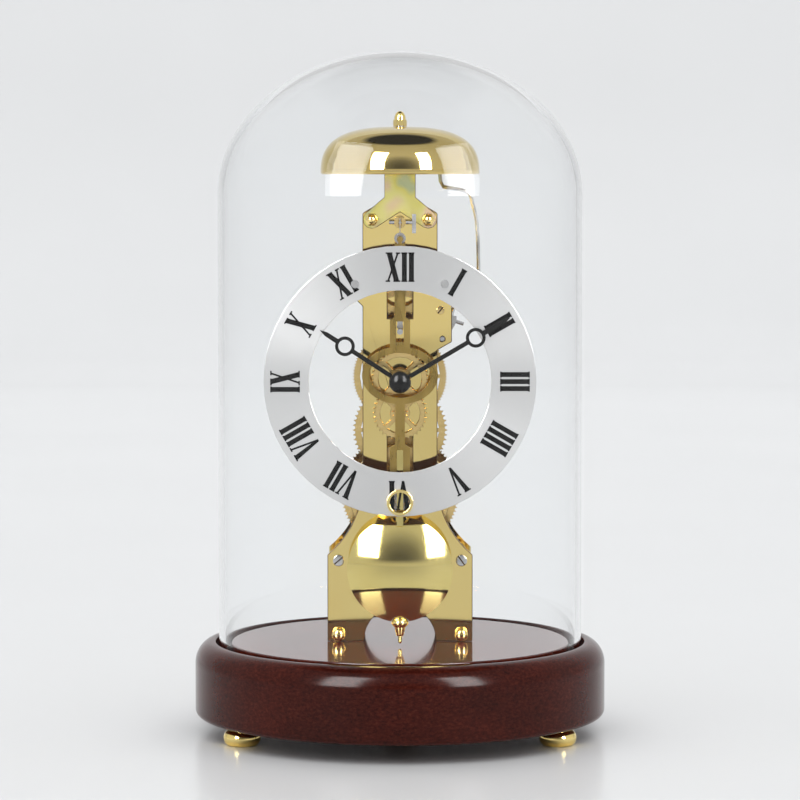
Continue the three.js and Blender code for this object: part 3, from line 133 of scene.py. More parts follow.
def metal(name, dark, light, rough, scale, stretch=(1, 1, 1), scratch=0.0):
    material, tree, shader = new_material(name)
    set_sockets(shader, {"Metallic": 1.0})
    texture = noise(tree, scale, detail=5, stretch=stretch)
    colour = ramp(tree, texture, "Fac", [(0.3, dark), (0.7, light)])
    link(tree, colour, "Color", shader, "Base Color")
    gloss = ramp(tree, texture, "Fac", [(0.3, grey(rough[0])), (0.7, grey(rough[1]))])
    link(tree, gloss, "Color", shader, "Roughness")
    if scratch:
        bump(tree, texture, shader, strength=scratch, distance=0.04 * MM)
    return material


def plated_zinc():
    """Yellow plating that drifts to green and to pink."""
    material, tree, shader = new_material("yellow_zinc")
    set_sockets(shader, {"Metallic": 1.0})
    cloud = noise(tree, scale=85, detail=1)
    colour = ramp(tree, cloud, "Fac", [
        (0.36, (0.68, 0.72, 0.40)),
        (0.45, (0.93, 0.83, 0.24)),
        (0.54, (0.96, 0.87, 0.33)),
        (0.64, (0.94, 0.70, 0.46)),
    ])
    link(tree, colour, "Color", shader, "Base Color")
    gloss = ramp(tree, cloud, "Fac", [(0.3, grey(0.2)), (0.7, grey(0.28))])
    link(tree, gloss, "Color", shader, "Roughness")
    return material


def silvered_dial(centre):
    """Silver brushed in circles about the dial's centre, with a brass back darkened by painted shade
    between the dial and the plate.
    """
    material, tree, shader = new_material("silvered_dial")
    set_sockets(shader, {
        "Metallic": 0.5,
        "Roughness": 0.21,
        "Anisotropic": 0.85,
        "Anisotropic Rotation": 0.25,
    })
    around = tree.nodes.new("ShaderNodeTangent")
    around.direction_type = "RADIAL"
    around.axis = "Y"
    link(tree, around, "Tangent", shader, "Tangent")
    coords = tree.nodes.new("ShaderNodeTexCoord")
    shift = vector_math(tree, "SUBTRACT", coords, "Object", centre)
    flat = vector_math(tree, "MULTIPLY", shift, "Vector", (1, 0, 1))
    length = vector_math(tree, "LENGTH", flat, "Vector")
    rings = tree.nodes.new("ShaderNodeTexNoise")
    rings.noise_dimensions = "1D"
    set_sockets(rings, {"Scale": 5200, "Detail": 3})
    link(tree, length, "Value", rings, "W")
    tone = ramp(tree, rings, "Fac", [(0.3, grey(0.80)), (0.7, grey(0.88))])
    # Painted shade: faces that look backwards get a near-black brown, standing for the shade between the
    # dial and the plate.
    facing = tree.nodes.new("ShaderNodeNewGeometry")
    backward = vector_math(tree, "DOT_PRODUCT", facing, "True Normal", (0, 1, 0))
    sides = ramp(tree, backward, "Value", [(0.4, grey(0)), (0.6, grey(1))])
    painted_back_shade = tree.nodes.new("ShaderNodeMixRGB")
    set_sockets(painted_back_shade, {"Color2": (0.06, 0.024, 0.010, 1)})
    link(tree, sides, "Color", painted_back_shade, "Fac")
    link(tree, tone, "Color", painted_back_shade, "Color1")
    link(tree, painted_back_shade, "Color", shader, "Base Color")
    bump(tree, rings, shader, strength=0.08, distance=0.05 * MM)
    return material


def clear_glass():
    material, _, shader = new_material("clear_glass")
    set_sockets(shader, {
        "Base Color": (0.985, 0.992, 0.995, 1),
        "Roughness": 0.0,
        "IOR": 1.25,
        "Transmission Weight": 1.0,
    })
    return material


def wood(name, rough, coat, specular, tone):
    material, tree, shader = new_material(name)
    mottle = noise(tree, scale=620, detail=6, stretch=(1, 1, 1.6), roughness=0.7)
    colour = ramp(tree, mottle, "Fac", [
        (0.30, (0.026, 0.0035, 0.0022)),
        (0.52, (0.062, 0.0085, 0.0045)),
        (0.75, (0.105, 0.020, 0.010)),
    ])
    cloud = noise(tree, scale=26, detail=4, stretch=(1, 1, 2.2), roughness=0.6)
    # Tone scales the colour; the disc's larger tone is painted light on the base's top.
    shade = ramp(tree, cloud, "Fac", [(0.3, grey(0.62 * tone)), (0.7, grey(1.15 * tone))])
    link(tree, multiply(tree, colour, shade), "Vector", shader, "Base Color")
    set_sockets(shader, {
        "Roughness": rough,
        "Specular IOR Level": specular,
        "Coat Weight": coat,
        "Coat Roughness": 0.03,
    })
    bump(tree, mottle, shader, strength=0.03, distance=0.05 * MM)
    return material


def black_felt():
    material, tree, shader = new_material("black_felt")
    fibres = noise(tree, scale=900, detail=4)
    colour = ramp(tree, fibres, "Fac", [(0.3, grey(0.004)), (0.7, grey(0.016))])
    link(tree, colour, "Color", shader, "Base Color")
    set_sockets(shader, {"Roughness": 0.95})
    bump(tree, fibres, shader, strength=0.4, distance=0.2 * MM)
    return material


def paint(name, low, high, rough, specular):
    material, tree, shader = new_material(name)
    texture = noise(tree, scale=500, detail=3)
    colour = ramp(tree, texture, "Fac", [(0.35, grey(low)), (0.65, grey(high))])
    link(tree, colour, "Color", shader, "Base Color")
    set_sockets(shader, {"Roughness": rough, "Specular IOR Level": specular})
    bump(tree, texture, shader, strength=0.05, distance=0.03 * MM)
    return material


POLISHED = metal("polished_brass", (0.95, 0.73, 0.27), (0.98, 0.78, 0.31), rough=(0.03, 0.07), scale=40)
SPUN = metal("spun_brass", (0.66, 0.50, 0.17), (0.72, 0.56, 0.22), rough=(0.03, 0.06), scale=55)
LENS = metal("pressed_brass", (0.70, 0.57, 0.20), (0.77, 0.64, 0.25), rough=(0.05, 0.09), scale=45)
SATIN = metal("satin_brass", (0.80, 0.58, 0.22), (0.90, 0.68, 0.31), rough=(0.14, 0.24), scale=90,
              stretch=(1, 1, 14), scratch=0.06)
OLIVE = metal("olive_brass", (0.31, 0.21, 0.056), (0.375, 0.26, 0.075), rough=(0.24, 0.34), scale=70,
              stretch=(5, 1, 1), scratch=0.04)
# Painted shade: near-black brass for cut edges and screw slots, standing for the dark reflections and
# shade there.
SHADE_EDGE = metal("shaded_edge", (0.05, 0.026, 0.008), (0.10, 0.055, 0.018), rough=(0.42, 0.55), scale=200)
STEEL = metal("bright_steel", grey(0.52), grey(0.68), rough=(0.14, 0.28), scale=120)
ZINC = plated_zinc()
DARK = paint("dark_cap", 0.005, 0.011, rough=0.22, specular=0.22)
BLACK = paint("black_lacquer", 0.003, 0.008, rough=0.4, specular=0.15)
INK = paint("numeral_ink", 0.002, 0.006, rough=0.6, specular=0.05)
GLASS = clear_glass()
RIM_WOOD = wood("mahogany", rough=0.16, coat=0.0, specular=0.15, tone=1.08)
# Painted light: the disc's wood has the real coat and a tone 2.2 times the rim's, which stands for the
# light and warm reflections on the base's top.
LIT_DISC_WOOD = wood("polished_mahogany", rough=0.12, coat=0.34, specular=0.24, tone=2.2)
FELT = black_felt()


# Mesh helpers

def finish_mesh(name, mesh, material, angle=TURNED_ANGLE):
    mesh.polygons.foreach_set("use_smooth", [True] * len(mesh.polygons))
    mesh.set_sharp_from_angle(angle=math.radians(angle))
    obj = bpy.data.objects.new(name, mesh)
    obj.data.materials.append(material)
    bpy.context.scene.collection.objects.link(obj)
    return obj


def close_build(build, name, merge=True):
    if merge:
        bmesh.ops.remove_doubles(build, verts=build.verts, dist=TINY)
    bmesh.ops.recalc_face_normals(build, faces=build.faces)
    mesh = bpy.data.meshes.new(name)
    build.to_mesh(mesh)
    build.free()
    return mesh


def add_lathe(build, profile, centre, axis, sides):
    """Turns a profile of (radius, along) points about an axis that runs along Z or Y."""
    rings = []
    for radius, along in profile:
        turns = [TAU * i / sides for i in range(sides)]
        spots = [(radius * math.cos(t), radius * math.sin(t)) for t in turns]
        if radius < TINY:
            spots = [(0.0, 0.0)]
        ring = []
        for a, b in spots:
            place = (centre[0] + a, centre[1] + b, along)
            if axis == "Y":
                place = (centre[0] + a, along, centre[1] + b)
            ring.append(build.verts.new(place))
        rings.append(ring)
    for one, two in zip(rings, rings[1:]):
        if len(one) == 1 and len(two) == 1:
            continue
        for i in range(sides):
            j = (i + 1) % sides
            if len(one) == 1:
                build.faces.new((one[0], two[i], two[j]))
            elif len(two) == 1:
                build.faces.new((one[i], one[j], two[0]))
            else:
                build.faces.new((one[i], one[j], two[j], two[i]))
    return rings


def add_prism(build, corners, y0, y1):
    one = [build.verts.new((x, y0, z)) for x, z in corners]
    two = [build.verts.new((x, y1, z)) for x, z in corners]
    build.faces.new(one)
    build.faces.new(list(reversed(two)))
    for i in range(len(corners)):
        j = (i + 1) % len(corners)
        build.faces.new((one[j], one[i], two[i], two[j]))


def with_loops(profile, gap=0.35 * MM, longest=3 * MM):
    """Adds a ring near both ends of each long straight stretch, which keeps its shading flat."""
    points = [profile[0]]
    for start, end in zip(profile, profile[1:]):
        one, two = Vector(start), Vector(end)
        length = (two - one).length
        if length > longest:
            points.append(tuple(one.lerp(two, gap / length)))
            points.append(tuple(two.lerp(one, gap / length)))
        points.append(end)
    return points


def lathe(name, profile, centre, axis, material, sides, angle=TURNED_ANGLE):
    build = bmesh.new()
    add_lathe(build, with_loops(profile), centre, axis, sides)
    return finish_mesh(name, close_build(build, name), material, angle)


def cut_away(obj, tool):
    """Gives what is left of an object when the shape in tool is cut out of it."""
    cutter = finish_mesh("cutter", close_build(tool, "cutter"), obj.data.materials[0])
    modifier = obj.modifiers.new("cut", "BOOLEAN")
    modifier.object = cutter
    graph = bpy.context.evaluated_depsgraph_get()
    left = bmesh.new()
    left.from_mesh(bpy.data.meshes.new_from_object(obj.evaluated_get(graph)))
    bpy.data.objects.remove(cutter)
    bpy.data.objects.remove(obj)
    return left


def arc(cx, cy, rx, ry, start, end, steps):
    turn = [math.radians(start + (end - start) * i / steps) for i in range(steps + 1)]
    return [(cx + rx * math.cos(t), cy + ry * math.sin(t)) for t in turn]


def crown(radius, height, base, roundness, steps):
    """Gives a rounded cap's outline from its rim, at the height of base, up to its middle."""
    points = []
    for i in range(steps + 1):
        t = (i / steps) * (math.pi / 2)
        across = 0.0 if i == steps else radius * math.cos(t) ** (2 / roundness)
        points.append((across, base + height * math.sin(t) ** (2 / roundness)))
    return points


def stand_in(obj, body, *nodes, slot):
    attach(obj, body)
    if nodes:
        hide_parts(*nodes)


def middle(node):
    low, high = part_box(node)
    return [(low[i] + high[i]) / 2 for i in range(3)]


# Base, dome and feet

DOME_WALL = 2.6 * MM
DOME_CROWN = 59 * MM
DOME_ROUNDNESS = 2.0
DOME_STEPS = 40
DISC_GAP = 2.6 * MM
GROOVE_GAP = 0.3 * MM
GROOVE_FLOOR_GAP = 0.15 * MM
RIM_LAND = 1 * MM
RIM_FOOT = 2.5 * MM
RIM_SHOULDER = 9 * MM
RIM_EDGE = 0.5 * MM
FOOT_BULGE = 2.4 * MM
FOOT_NECK = 1.2 * MM
FOOT_STEP = 0.6 * MM


def make_base():
    low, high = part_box("base")
    radius, bottom, top = high[0], low[2], high[2]
    felt_low, felt_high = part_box("groove_felt")
    groove = felt_high[0] + GROOVE_GAP
    floor = felt_low[2] - GROOVE_FLOOR_GAP
    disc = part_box("dome")[1][0] - DOME_WALL - DISC_GAP
    land = groove + RIM_LAND
    profile = [
        (0, bottom),
        *arc(radius - RIM_FOOT, bottom + RIM_FOOT, RIM_FOOT, RIM_FOOT, -90, 0, LIP_STEPS),
        *arc(land, top - RIM_SHOULDER, radius - land, RIM_SHOULDER, 0, 90, ROUND_STEPS),
        *arc(groove + RIM_EDGE, top - RIM_EDGE, RIM_EDGE, RIM_EDGE, 90, 180, EDGE_STEPS),
        (groove, floor),
        (disc, floor),
        *arc(disc - RIM_EDGE, top - RIM_EDGE, RIM_EDGE, RIM_EDGE, 0, 90, EDGE_STEPS),
        (0, top),
    ]
    obj = lathe("base_turned", profile, (0, 0), "Z", RIM_WOOD, WIDE_SIDES)
    # The top faces inside the groove take the disc wood, whose lighter tone is painted light.
    obj.data.materials.append(LIT_DISC_WOOD)
    for face in obj.data.polygons:
        if face.center.xy.length < disc and face.center.z > floor:
            face.material_index = 1
    stand_in(obj, "frame", "base", slot="wood")


def make_dome():
    """Clear glass that casts no shadow and isn't mirrored in the pieces under it."""
    low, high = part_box("dome")
    outer, bottom, top = high[0], low[2], high[2]
    inner = outer - DOME_WALL
    spring = top - DOME_CROWN
    edge = DOME_WALL / 2
    inside = crown(inner, DOME_CROWN - DOME_WALL, spring, DOME_ROUNDNESS, DOME_STEPS)
    outside = crown(outer, DOME_CROWN, spring, DOME_ROUNDNESS, DOME_STEPS)
    foot = arc(inner + edge, bottom + edge, edge, edge, 180, 360, LIP_STEPS)
    profile = [*reversed(inside), *foot, *outside]
    obj = lathe("dome_blown", profile, (0, 0), "Z", GLASS, WIDE_SIDES, SOFT_ANGLE)
    obj.visible_shadow = False
    obj.visible_diffuse = False
    obj.visible_glossy = False
    stand_in(obj, "dome_glass", "dome", slot="glass")


def make_feet():
    for node in ("foot_front_left", "foot_front_right", "foot_back"):
        low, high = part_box(node)
        x, y, _ = middle(node)
        radius = (high[0] - low[0]) / 2
        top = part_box("base")[0][2] - SEAT_GAP
        half = (top - FOOT_NECK) / 2
        neck = radius - FOOT_BULGE - FOOT_STEP
        profile = [
            (0, 0),
            *arc(radius - FOOT_BULGE, half, FOOT_BULGE, half, -90, 90, ROUND_STEPS),
            (neck, 2 * half),
            (neck, top),
            (0, top),
        ]
        foot = lathe(node + "_turned", profile, (x, y), "Z", POLISHED, KNOB_SIDES)
        stand_in(foot, "frame", node, slot="brass")


# Bell

BELL_WALL = 1.5 * MM
BELL_ROUNDNESS = 2.75
BELL_STEPS = 30
BELL_LIP_STEPS = 6
BELL_BORE = 2.2 * MM
BELL_FLAT = 1 * MM


def make_bell():
    low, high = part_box("bell")
    y = (low[1] + high[1]) / 2
    radius, rim, top = high[0], low[2], high[2]
    tall = top - rim
    edge = BELL_WALL / 2
    outside = crown(radius, tall, rim, BELL_ROUNDNESS, BELL_STEPS)
    inside = crown(radius - BELL_WALL, tall - BELL_WALL, rim, BELL_ROUNDNESS, BELL_STEPS)
    flat = BELL_BORE + BELL_FLAT
    profile = [
        (BELL_BORE, top - BELL_WALL),
        *[point for point in reversed(inside[1:]) if point[0] > flat],
        *arc(radius - edge, rim + edge, edge, edge, 180, 360, BELL_LIP_STEPS),
        *[point for point in outside[1:] if point[0] > flat],
        (BELL_BORE, top),
        (BELL_BORE, top - BELL_WALL),
    ]
    stand_in(lathe("bell_spun", profile, (0, y), "Z", SPUN, WIDE_SIDES), "frame", "bell", slot="brass")


# Acorn nuts and ball nuts

HEX_CUT = 0.25 * MM
ACORN_SUNK = 0.5 * MM
ACORN_START = 4
BELL_HEX_SHARE = 0.42
BELL_ACORN_SHARE = 0.86
BELL_ACORN_COLLAR = 0.3 * MM
TOP_HEX_THICK = 2 * MM
TOP_ACORN_SHARE = 0.84
TOP_ACORN_COLLAR = 0.2 * MM
BALL_NECK_SHARE = 0.78
BALL_NECK_DEPTH = 0.16
BALL_DEPTH = 0.45
BALL_START = 60


def add_acorn_nut(build, centre, axis, seat, hex_end, tip, radius, ball, collar):
    """Adds a hexagon from seat to hex_end and a domed cap that ends at tip."""
    out = math.copysign(1, tip - hex_end)
    hexagon = [
        (radius - HEX_CUT, seat),
        (radius, seat + out * HEX_CUT),
        (radius, hex_end - out * HEX_CUT),
        (radius - HEX_CUT, hex_end),
    ]
    if out < 0:
        hexagon.reverse()
    rings = add_lathe(build, hexagon, centre, axis, HEX_SIDES)
    build.faces.new(rings[0])
    build.faces.new(rings[-1])
    start = hex_end - out * ACORN_SUNK
    spring = hex_end + out * collar
    cap = [
        (0, start),
        (ball, start),
        (ball, spring),
        *arc(0, spring, ball, abs(tip - spring), out * ACORN_START, out * 90, CAP_STEPS)[:-1],
        (0, tip),
    ]
    add_lathe(build, cap, centre, axis, SMALL_SIDES)


def make_bell_nut():
    low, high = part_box("bell_nut")
    y = (low[1] + high[1]) / 2
    radius = (high[1] - low[1]) / 2
    hex_top = low[2] + (high[2] - low[2]) * BELL_HEX_SHARE
    build = bmesh.new()
    add_acorn_nut(build, (0, y), "Z", low[2], hex_top, high[2], radius, radius * BELL_ACORN_SHARE,
                  BELL_ACORN_COLLAR)
    nut = finish_mesh("bell_acorn", close_build(build, "bell_acorn"), POLISHED)
    stand_in(nut, "frame", "bell_nut", slot="brass")


def make_ball_nut(side):
    node = f"nut_low_{side}"
    low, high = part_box(node)
    x, _, z = middle(node)
    front = low[1]
    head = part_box("front_plate")[0][1] - SEAT_GAP
    radius = (high[2] - low[2]) / 2
    neck = radius * BALL_NECK_SHARE
    deep = head - front
    profile = [
        (0, head),
        (neck, head),
        (neck, head - deep * BALL_NECK_DEPTH),
        *arc(0, front + deep * BALL_DEPTH, radius, deep * BALL_DEPTH, BALL_START, -90, KNOB_STEPS)[:-1],
        (0, front),
    ]
    nut = lathe(f"ball_nut_{side}", profile, (x, z), "Y", POLISHED, SMALL_SIDES)
    stand_in(nut, "frame", node, slot="brass")


def make_top_nut(side):
    node = f"nut_top_{side}"
    low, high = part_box(node)
    x, _, z = middle(node)
    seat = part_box("bell_bracket")[0][1] - SEAT_GAP
    radius = (high[0] - low[0]) / 2
    build = bmesh.new()
    add_acorn_nut(build, (x, z), "Y", seat, seat - TOP_HEX_THICK, low[1], radius, radius * TOP_ACORN_SHARE,
                  TOP_ACORN_COLLAR)
    nut = finish_mesh(f"acorn_nut_{side}", close_build(build, f"acorn_nut_{side}"), POLISHED)
    stand_in(nut, "frame", node, slot="brass")


def make_plate_nuts():
    for side in ("left", "right"):
        make_ball_nut(side)
        make_top_nut(side)


# Slotted screws

TAB_SCREW = (16.6 * MM, 175.3 * MM)
TAB_SCREW_RADIUS = 1.7 * MM
TAB_SCREW_HEIGHT = 0.9 * MM
TAB_SCREW_SUNK = 0.1 * MM
TAB_SCREW_TURN = 50
MID_SCREW_GAP = 0.05 * MM
MID_SCREW_TURNS = {"left": 40, "right": -55}
SCREW_EDGE = 0.3 * MM
SLOT_WIDTH = 0.55 * MM
SLOT_DEPTH = 0.5 * MM
SLOT_REACH = 1.2
SLOT_SHARE = 0.51
SLOT_SLACK = 0.02 * MM


def slotted_screw(name, spot, seat, front, radius, degrees, material, slot, *nodes):
    """Makes a flat screw head whose slot is cut in and carries painted shade."""
    profile = [
        (0, seat),
        (radius, seat),
        *arc(radius - SCREW_EDGE, front + SCREW_EDGE, SCREW_EDGE, SCREW_EDGE, 0, -90, EDGE_STEPS),
        (0, front),
    ]
    head = lathe(name + "_head", profile, spot, "Y", material, SMALL_SIDES)
    turn = math.radians(degrees)
    centre = Vector(spot)
    along = Vector((math.cos(turn), math.sin(turn))) * SLOT_REACH * radius
    across = Vector((-math.sin(turn), math.cos(turn))) * SLOT_WIDTH / 2
    corners = [
        centre - along - across,
        centre + along - across,
        centre + along + across,
        centre - along + across,
    ]
    groove = bmesh.new()
    add_prism(groove, [tuple(corner) for corner in corners], front - SCREW_EDGE, front + SLOT_DEPTH)
    obj = finish_mesh(name, close_build(cut_away(head, groove), name), material, CUT_ANGLE)
    # Painted shade: the faces inside the slot take the near-black edge material.
    obj.data.materials.append(SHADE_EDGE)
    for face in obj.data.polygons:
        aside = (Vector((face.center.x, face.center.z)) - centre).dot(across.normalized())
        in_depth = front + SLOT_SLACK < face.center.y < seat - SLOT_SLACK
        if in_depth and abs(aside) < SLOT_SHARE * SLOT_WIDTH:
            face.material_index = 1
    stand_in(obj, "frame", *nodes, slot=slot)


def make_screws():
    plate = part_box("front_plate")[0][1]
    slotted_screw("tab_screw", TAB_SCREW, plate + TAB_SCREW_SUNK, plate - TAB_SCREW_HEIGHT,
                  TAB_SCREW_RADIUS, TAB_SCREW_TURN, SATIN, "brass")
    for side, degrees in MID_SCREW_TURNS.items():
        node = f"screw_mid_{side}"
        low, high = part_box(node)
        x, _, z = middle(node)
        radius = (high[0] - low[0]) / 2
        slotted_screw(f"slotted_{side}", (x, z), plate - MID_SCREW_GAP, low[1], radius, degrees, STEEL,
                      "steel", node)


# Pendulum bob and rating nut

BOB_NEST = 2.1 * MM
BOB_RIM = 0.5 * MM
BOB_RINGS = 24
BOB_SIDES = 128
NEST_REACH = 1.2
ROD_GAP = 0.15 * MM
STRIP_WIDTH = 2.6 * MM
STRIP_THICK = 0.8 * MM
STRIP_LAP = 3.5 * MM
TIP_RADIUS = 0.8 * MM
TIP_POINT = 0.6 * MM
TIP_LAP = 2 * MM
TIP_SIDES = 32
NUT_BORE = 1.1 * MM
NUT_KNOB = 4.7 * MM
NUT_GAP = 0.3 * MM
NUT_TURN = 52
NUT_TOP_SHARE = 0.6
NUT_STEM = [(0.57, 0.9 * MM), (0.47, 2.0 * MM)]
NUT_END_SHARE = 0.43
NUT_TIP_SHARE = 0.38
NUT_TIP = 0.2 * MM


def bob_lens(radius, half, y, z):
    shares = [i / BOB_RINGS for i in range(BOB_RINGS + 1)]
    face = [(radius * share, BOB_RIM + (half - BOB_RIM) * (1 - share ** 2)) for share in shares]
    profile = [(r, y - deep) for r, deep in face] + [(r, y + deep) for r, deep in reversed(face)]
    return lathe("bob_lens", profile, (0, z), "Y", LENS, BOB_SIDES)


def make_bob():
    """A lens with a nest for the rating nut, a strip up to the rod and a thin tip through the nut."""
    low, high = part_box("bob")
    nut_low, nut_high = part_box("rating_nut")
    radius = (high[0] - low[0]) / 2
    y = (low[1] + high[1]) / 2
    z = nut_high[2] - BOB_NEST + radius
    lens = bob_lens(radius, (high[1] - low[1]) / 2, y, z)

    nest = (nut_high[0] - nut_low[0]) / 2 + NUT_GAP
    below = z - NEST_REACH * radius
    room = [
        (0, below),
        (nest, below),
        *arc(0, nut_high[2] - NUT_KNOB / 2, nest, NUT_KNOB / 2 + NUT_GAP, 0, 90, CAP_STEPS)[:-1],
        (0, nut_high[2] + NUT_GAP),
    ]
    cutter = bmesh.new()
    add_lathe(cutter, room, (0, y), "Z", SMALL_SIDES)
    build = cut_away(lens, cutter)

    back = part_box("pendulum_rod")[0][1] - ROD_GAP
    wide = STRIP_WIDTH / 2
    foot = z + radius - STRIP_LAP
    strip = [(-wide, foot), (wide, foot), (wide, high[2]), (-wide, high[2])]
    add_prism(build, strip, back - STRIP_THICK, back)
    tip_top = nut_high[2] + TIP_LAP
    tip = [
        (0, low[2]),
        (0.5 * TIP_RADIUS, low[2]),
        (TIP_RADIUS, low[2] + TIP_POINT),
        (TIP_RADIUS, tip_top),
        (0, tip_top),
    ]
    add_lathe(build, with_loops(tip), (0, y), "Z", TIP_SIDES)
    bob = finish_mesh("bob_turned", close_build(build, "bob_turned"), LENS, CUT_ANGLE)
    stand_in(bob, "pendulum", "bob", slot="brass")


def make_rating_nut():
    low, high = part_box("rating_nut")
    x, y, _ = middle("rating_nut")
    radius = (high[0] - low[0]) / 2
    bottom, top = low[2], high[2]
    foot = top - NUT_KNOB
    profile = [
        (NUT_BORE, top),
        (radius * NUT_TOP_SHARE, top),
        *arc(0, top - NUT_KNOB / 2, radius, NUT_KNOB / 2, NUT_TURN, -NUT_TURN, KNOB_STEPS),
        *[(radius * share, foot - drop) for share, drop in NUT_STEM],
        (radius * NUT_END_SHARE, bottom + NUT_TIP),
        (radius * NUT_TIP_SHARE, bottom),
        (NUT_BORE, bottom),
        (NUT_BORE, top),
    ]
    nut = lathe("rating_knob", profile, (x, y), "Z", POLISHED, KNOB_SIDES)
    stand_in(nut, "pendulum", "rating_nut", slot="brass")


# Dial numerals

NUMERAL_HEIGHT = 11.9 * MM
NUMERAL_RADIUS = 46.4 * MM
NUMERAL_GAP = 0.035
SERIF = 0.05
INK_RAISED = 0.05 * MM
INK_SUNK = 0.02 * MM
HOURS = ["XII", "I", "II", "III", "IIII", "V", "VI", "VII", "VIII", "IX", "X", "XI"]


def bar(left, right, low, high):
    return [(left, low), (right, low), (right, high), (left, high)]


def top_serif(left, right):
    return bar(left, right, 1 - SERIF, 1)


def foot_serif(left, right):
    return bar(left, right, 0, SERIF)


def slant(top_left, top_right, foot_right, foot_left):
    return [(top_left, 1), (top_right, 1), (foot_right, 0), (foot_left, 0)]


# Each letter's width and its strokes, as shares of the numeral's height
GLYPHS = {
    "I": (0.205, [
        bar(0.019, 0.186, 0, 1),
        foot_serif(0, 0.205),
        top_serif(0, 0.205),
    ]),
    "V": (0.52, [
        slant(0.03, 0.21, 0.325, 0.235),
        slant(0.42, 0.485, 0.315, 0.25),
        top_serif(0, 0.24),
        top_serif(0.375, 0.52),
    ]),
    "X": (0.5, [
        slant(0.03, 0.21, 0.47, 0.29),
        slant(0.39, 0.455, 0.11, 0.045),
        top_serif(0, 0.235),
        top_serif(0.345, 0.5),
        foot_serif(0, 0.155),
        foot_serif(0.265, 0.5),
    ]),
}


def make_numerals():
    low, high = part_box("dial")
    front = low[1]
    centre_z = (low[2] + high[2]) / 2
    build = bmesh.new()
    for hour, word in enumerate(HOURS):
        turn = TAU * hour / 12
        width = sum(GLYPHS[letter][0] for letter in word) + NUMERAL_GAP * (len(word) - 1)
        pen = -width / 2
        for letter in word:
            advance, strokes = GLYPHS[letter]
            for stroke in strokes:
                corners = []
                for gx, gy in stroke:
                    across = (pen + gx) * NUMERAL_HEIGHT
                    out = NUMERAL_RADIUS + (gy - 0.5) * NUMERAL_HEIGHT
                    corners.append((
                        across * math.cos(turn) + out * math.sin(turn),
                        centre_z - across * math.sin(turn) + out * math.cos(turn),
                    ))
                add_prism(build, corners, front - INK_RAISED, front + INK_SUNK)
            pen += advance + NUMERAL_GAP
    mesh = close_build(build, "dial_numerals", merge=False)
    stand_in(finish_mesh("dial_numerals", mesh, INK, CUT_ANGLE), "frame", slot="black_paint")


# Carried-over nodes: edges and materials

JOIN_DISTANCE = 0.002 * MM
CREASE = math.radians(32)
FLAT_FACING = 0.99
PLATE_EDGE = 0.3 * MM
BRACKET_EDGE = 0.25 * MM
STUD_EDGE = 0.2 * MM
SHEET_EDGE = 0.15 * MM
WHEEL_EDGE = 0.14 * MM
FINE_EDGE = 0.12 * MM
WHEELS = ["barrel", "barrel_cap", "intermediate_wheel", "center_wheel", "third_wheel", "escape_wheel",
          "minute_wheel", "hour_wheel", "cannon_pinion"]
PILLARS = [f"pillar_{row}_{side}" for row in ("low", "mid", "top") for side in ("left", "right")]
STEEL_NODES = ["bell_bolt", "mainspring", "barrel_arbor", "ratchet_wheel", "click", "intermediate_arbor",
               "center_arbor", "third_arbor", "escape_arbor", "anchor", "anchor_arbor", "crutch",
               "dial_pillar_left", "dial_pillar_right", "suspension_pin", "suspension_spring",
               "hammer_arbor", "hammer_wire"]


def dress(nodes, material, bevel=0.0, steps=2, edge=None):
    """Gives nodes a finish: joined facets, then cut edges that carry edge's painted shade when it is
    given, or crisp edges.
    """
    for name in nodes:
        obj = NODES[name]
        obj.data.materials.clear()
        obj.data.materials.append(material)
        rounded = [abs(face.normal.y) < FLAT_FACING for face in obj.data.polygons]
        obj.data.polygons.foreach_set("use_smooth", rounded)
        weld = obj.modifiers.new("join", "WELD")
        weld.merge_threshold = JOIN_DISTANCE
        if bevel:
            cut = obj.modifiers.new("edge", "BEVEL")
            cut.width = bevel
            cut.segments = steps
            cut.limit_method = "ANGLE"
            cut.angle_limit = CREASE
            # Painted shade on the bevelled edges.
            if edge:
                obj.data.materials.append(edge)
                cut.material = 1
        else:
            crisp = obj.modifiers.new("crisp", "EDGE_SPLIT")
            crisp.split_angle = CREASE
            crisp.use_edge_sharp = False


def dress_nodes():
    low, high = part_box("dial")
    dial_centre = (0, low[1], (low[2] + high[2]) / 2)
    dress(["front_plate", "back_plate"], POLISHED, PLATE_EDGE, edge=SHADE_EDGE)
    dress(WHEELS, SATIN, WHEEL_EDGE, 1, SHADE_EDGE)
    dress([*PILLARS, "winding_eyelet", "hammer_head"], POLISHED, FINE_EDGE)
    dress(["suspension_stud"], SATIN, STUD_EDGE, edge=SHADE_EDGE)
    dress(["pendulum_rod"], OLIVE, SHEET_EDGE)
    dress(["dial"], silvered_dial(dial_centre), SHEET_EDGE)
    dress(["bell_bracket"], ZINC, BRACKET_EDGE, edge=SHADE_EDGE)
    dress(["hour_hand", "minute_hand"], BLACK, FINE_EDGE)
    dress(["hand_cap"], DARK)
    dress(["groove_felt"], FELT)
    dress(STEEL_NODES, STEEL)


# Studio, in metres

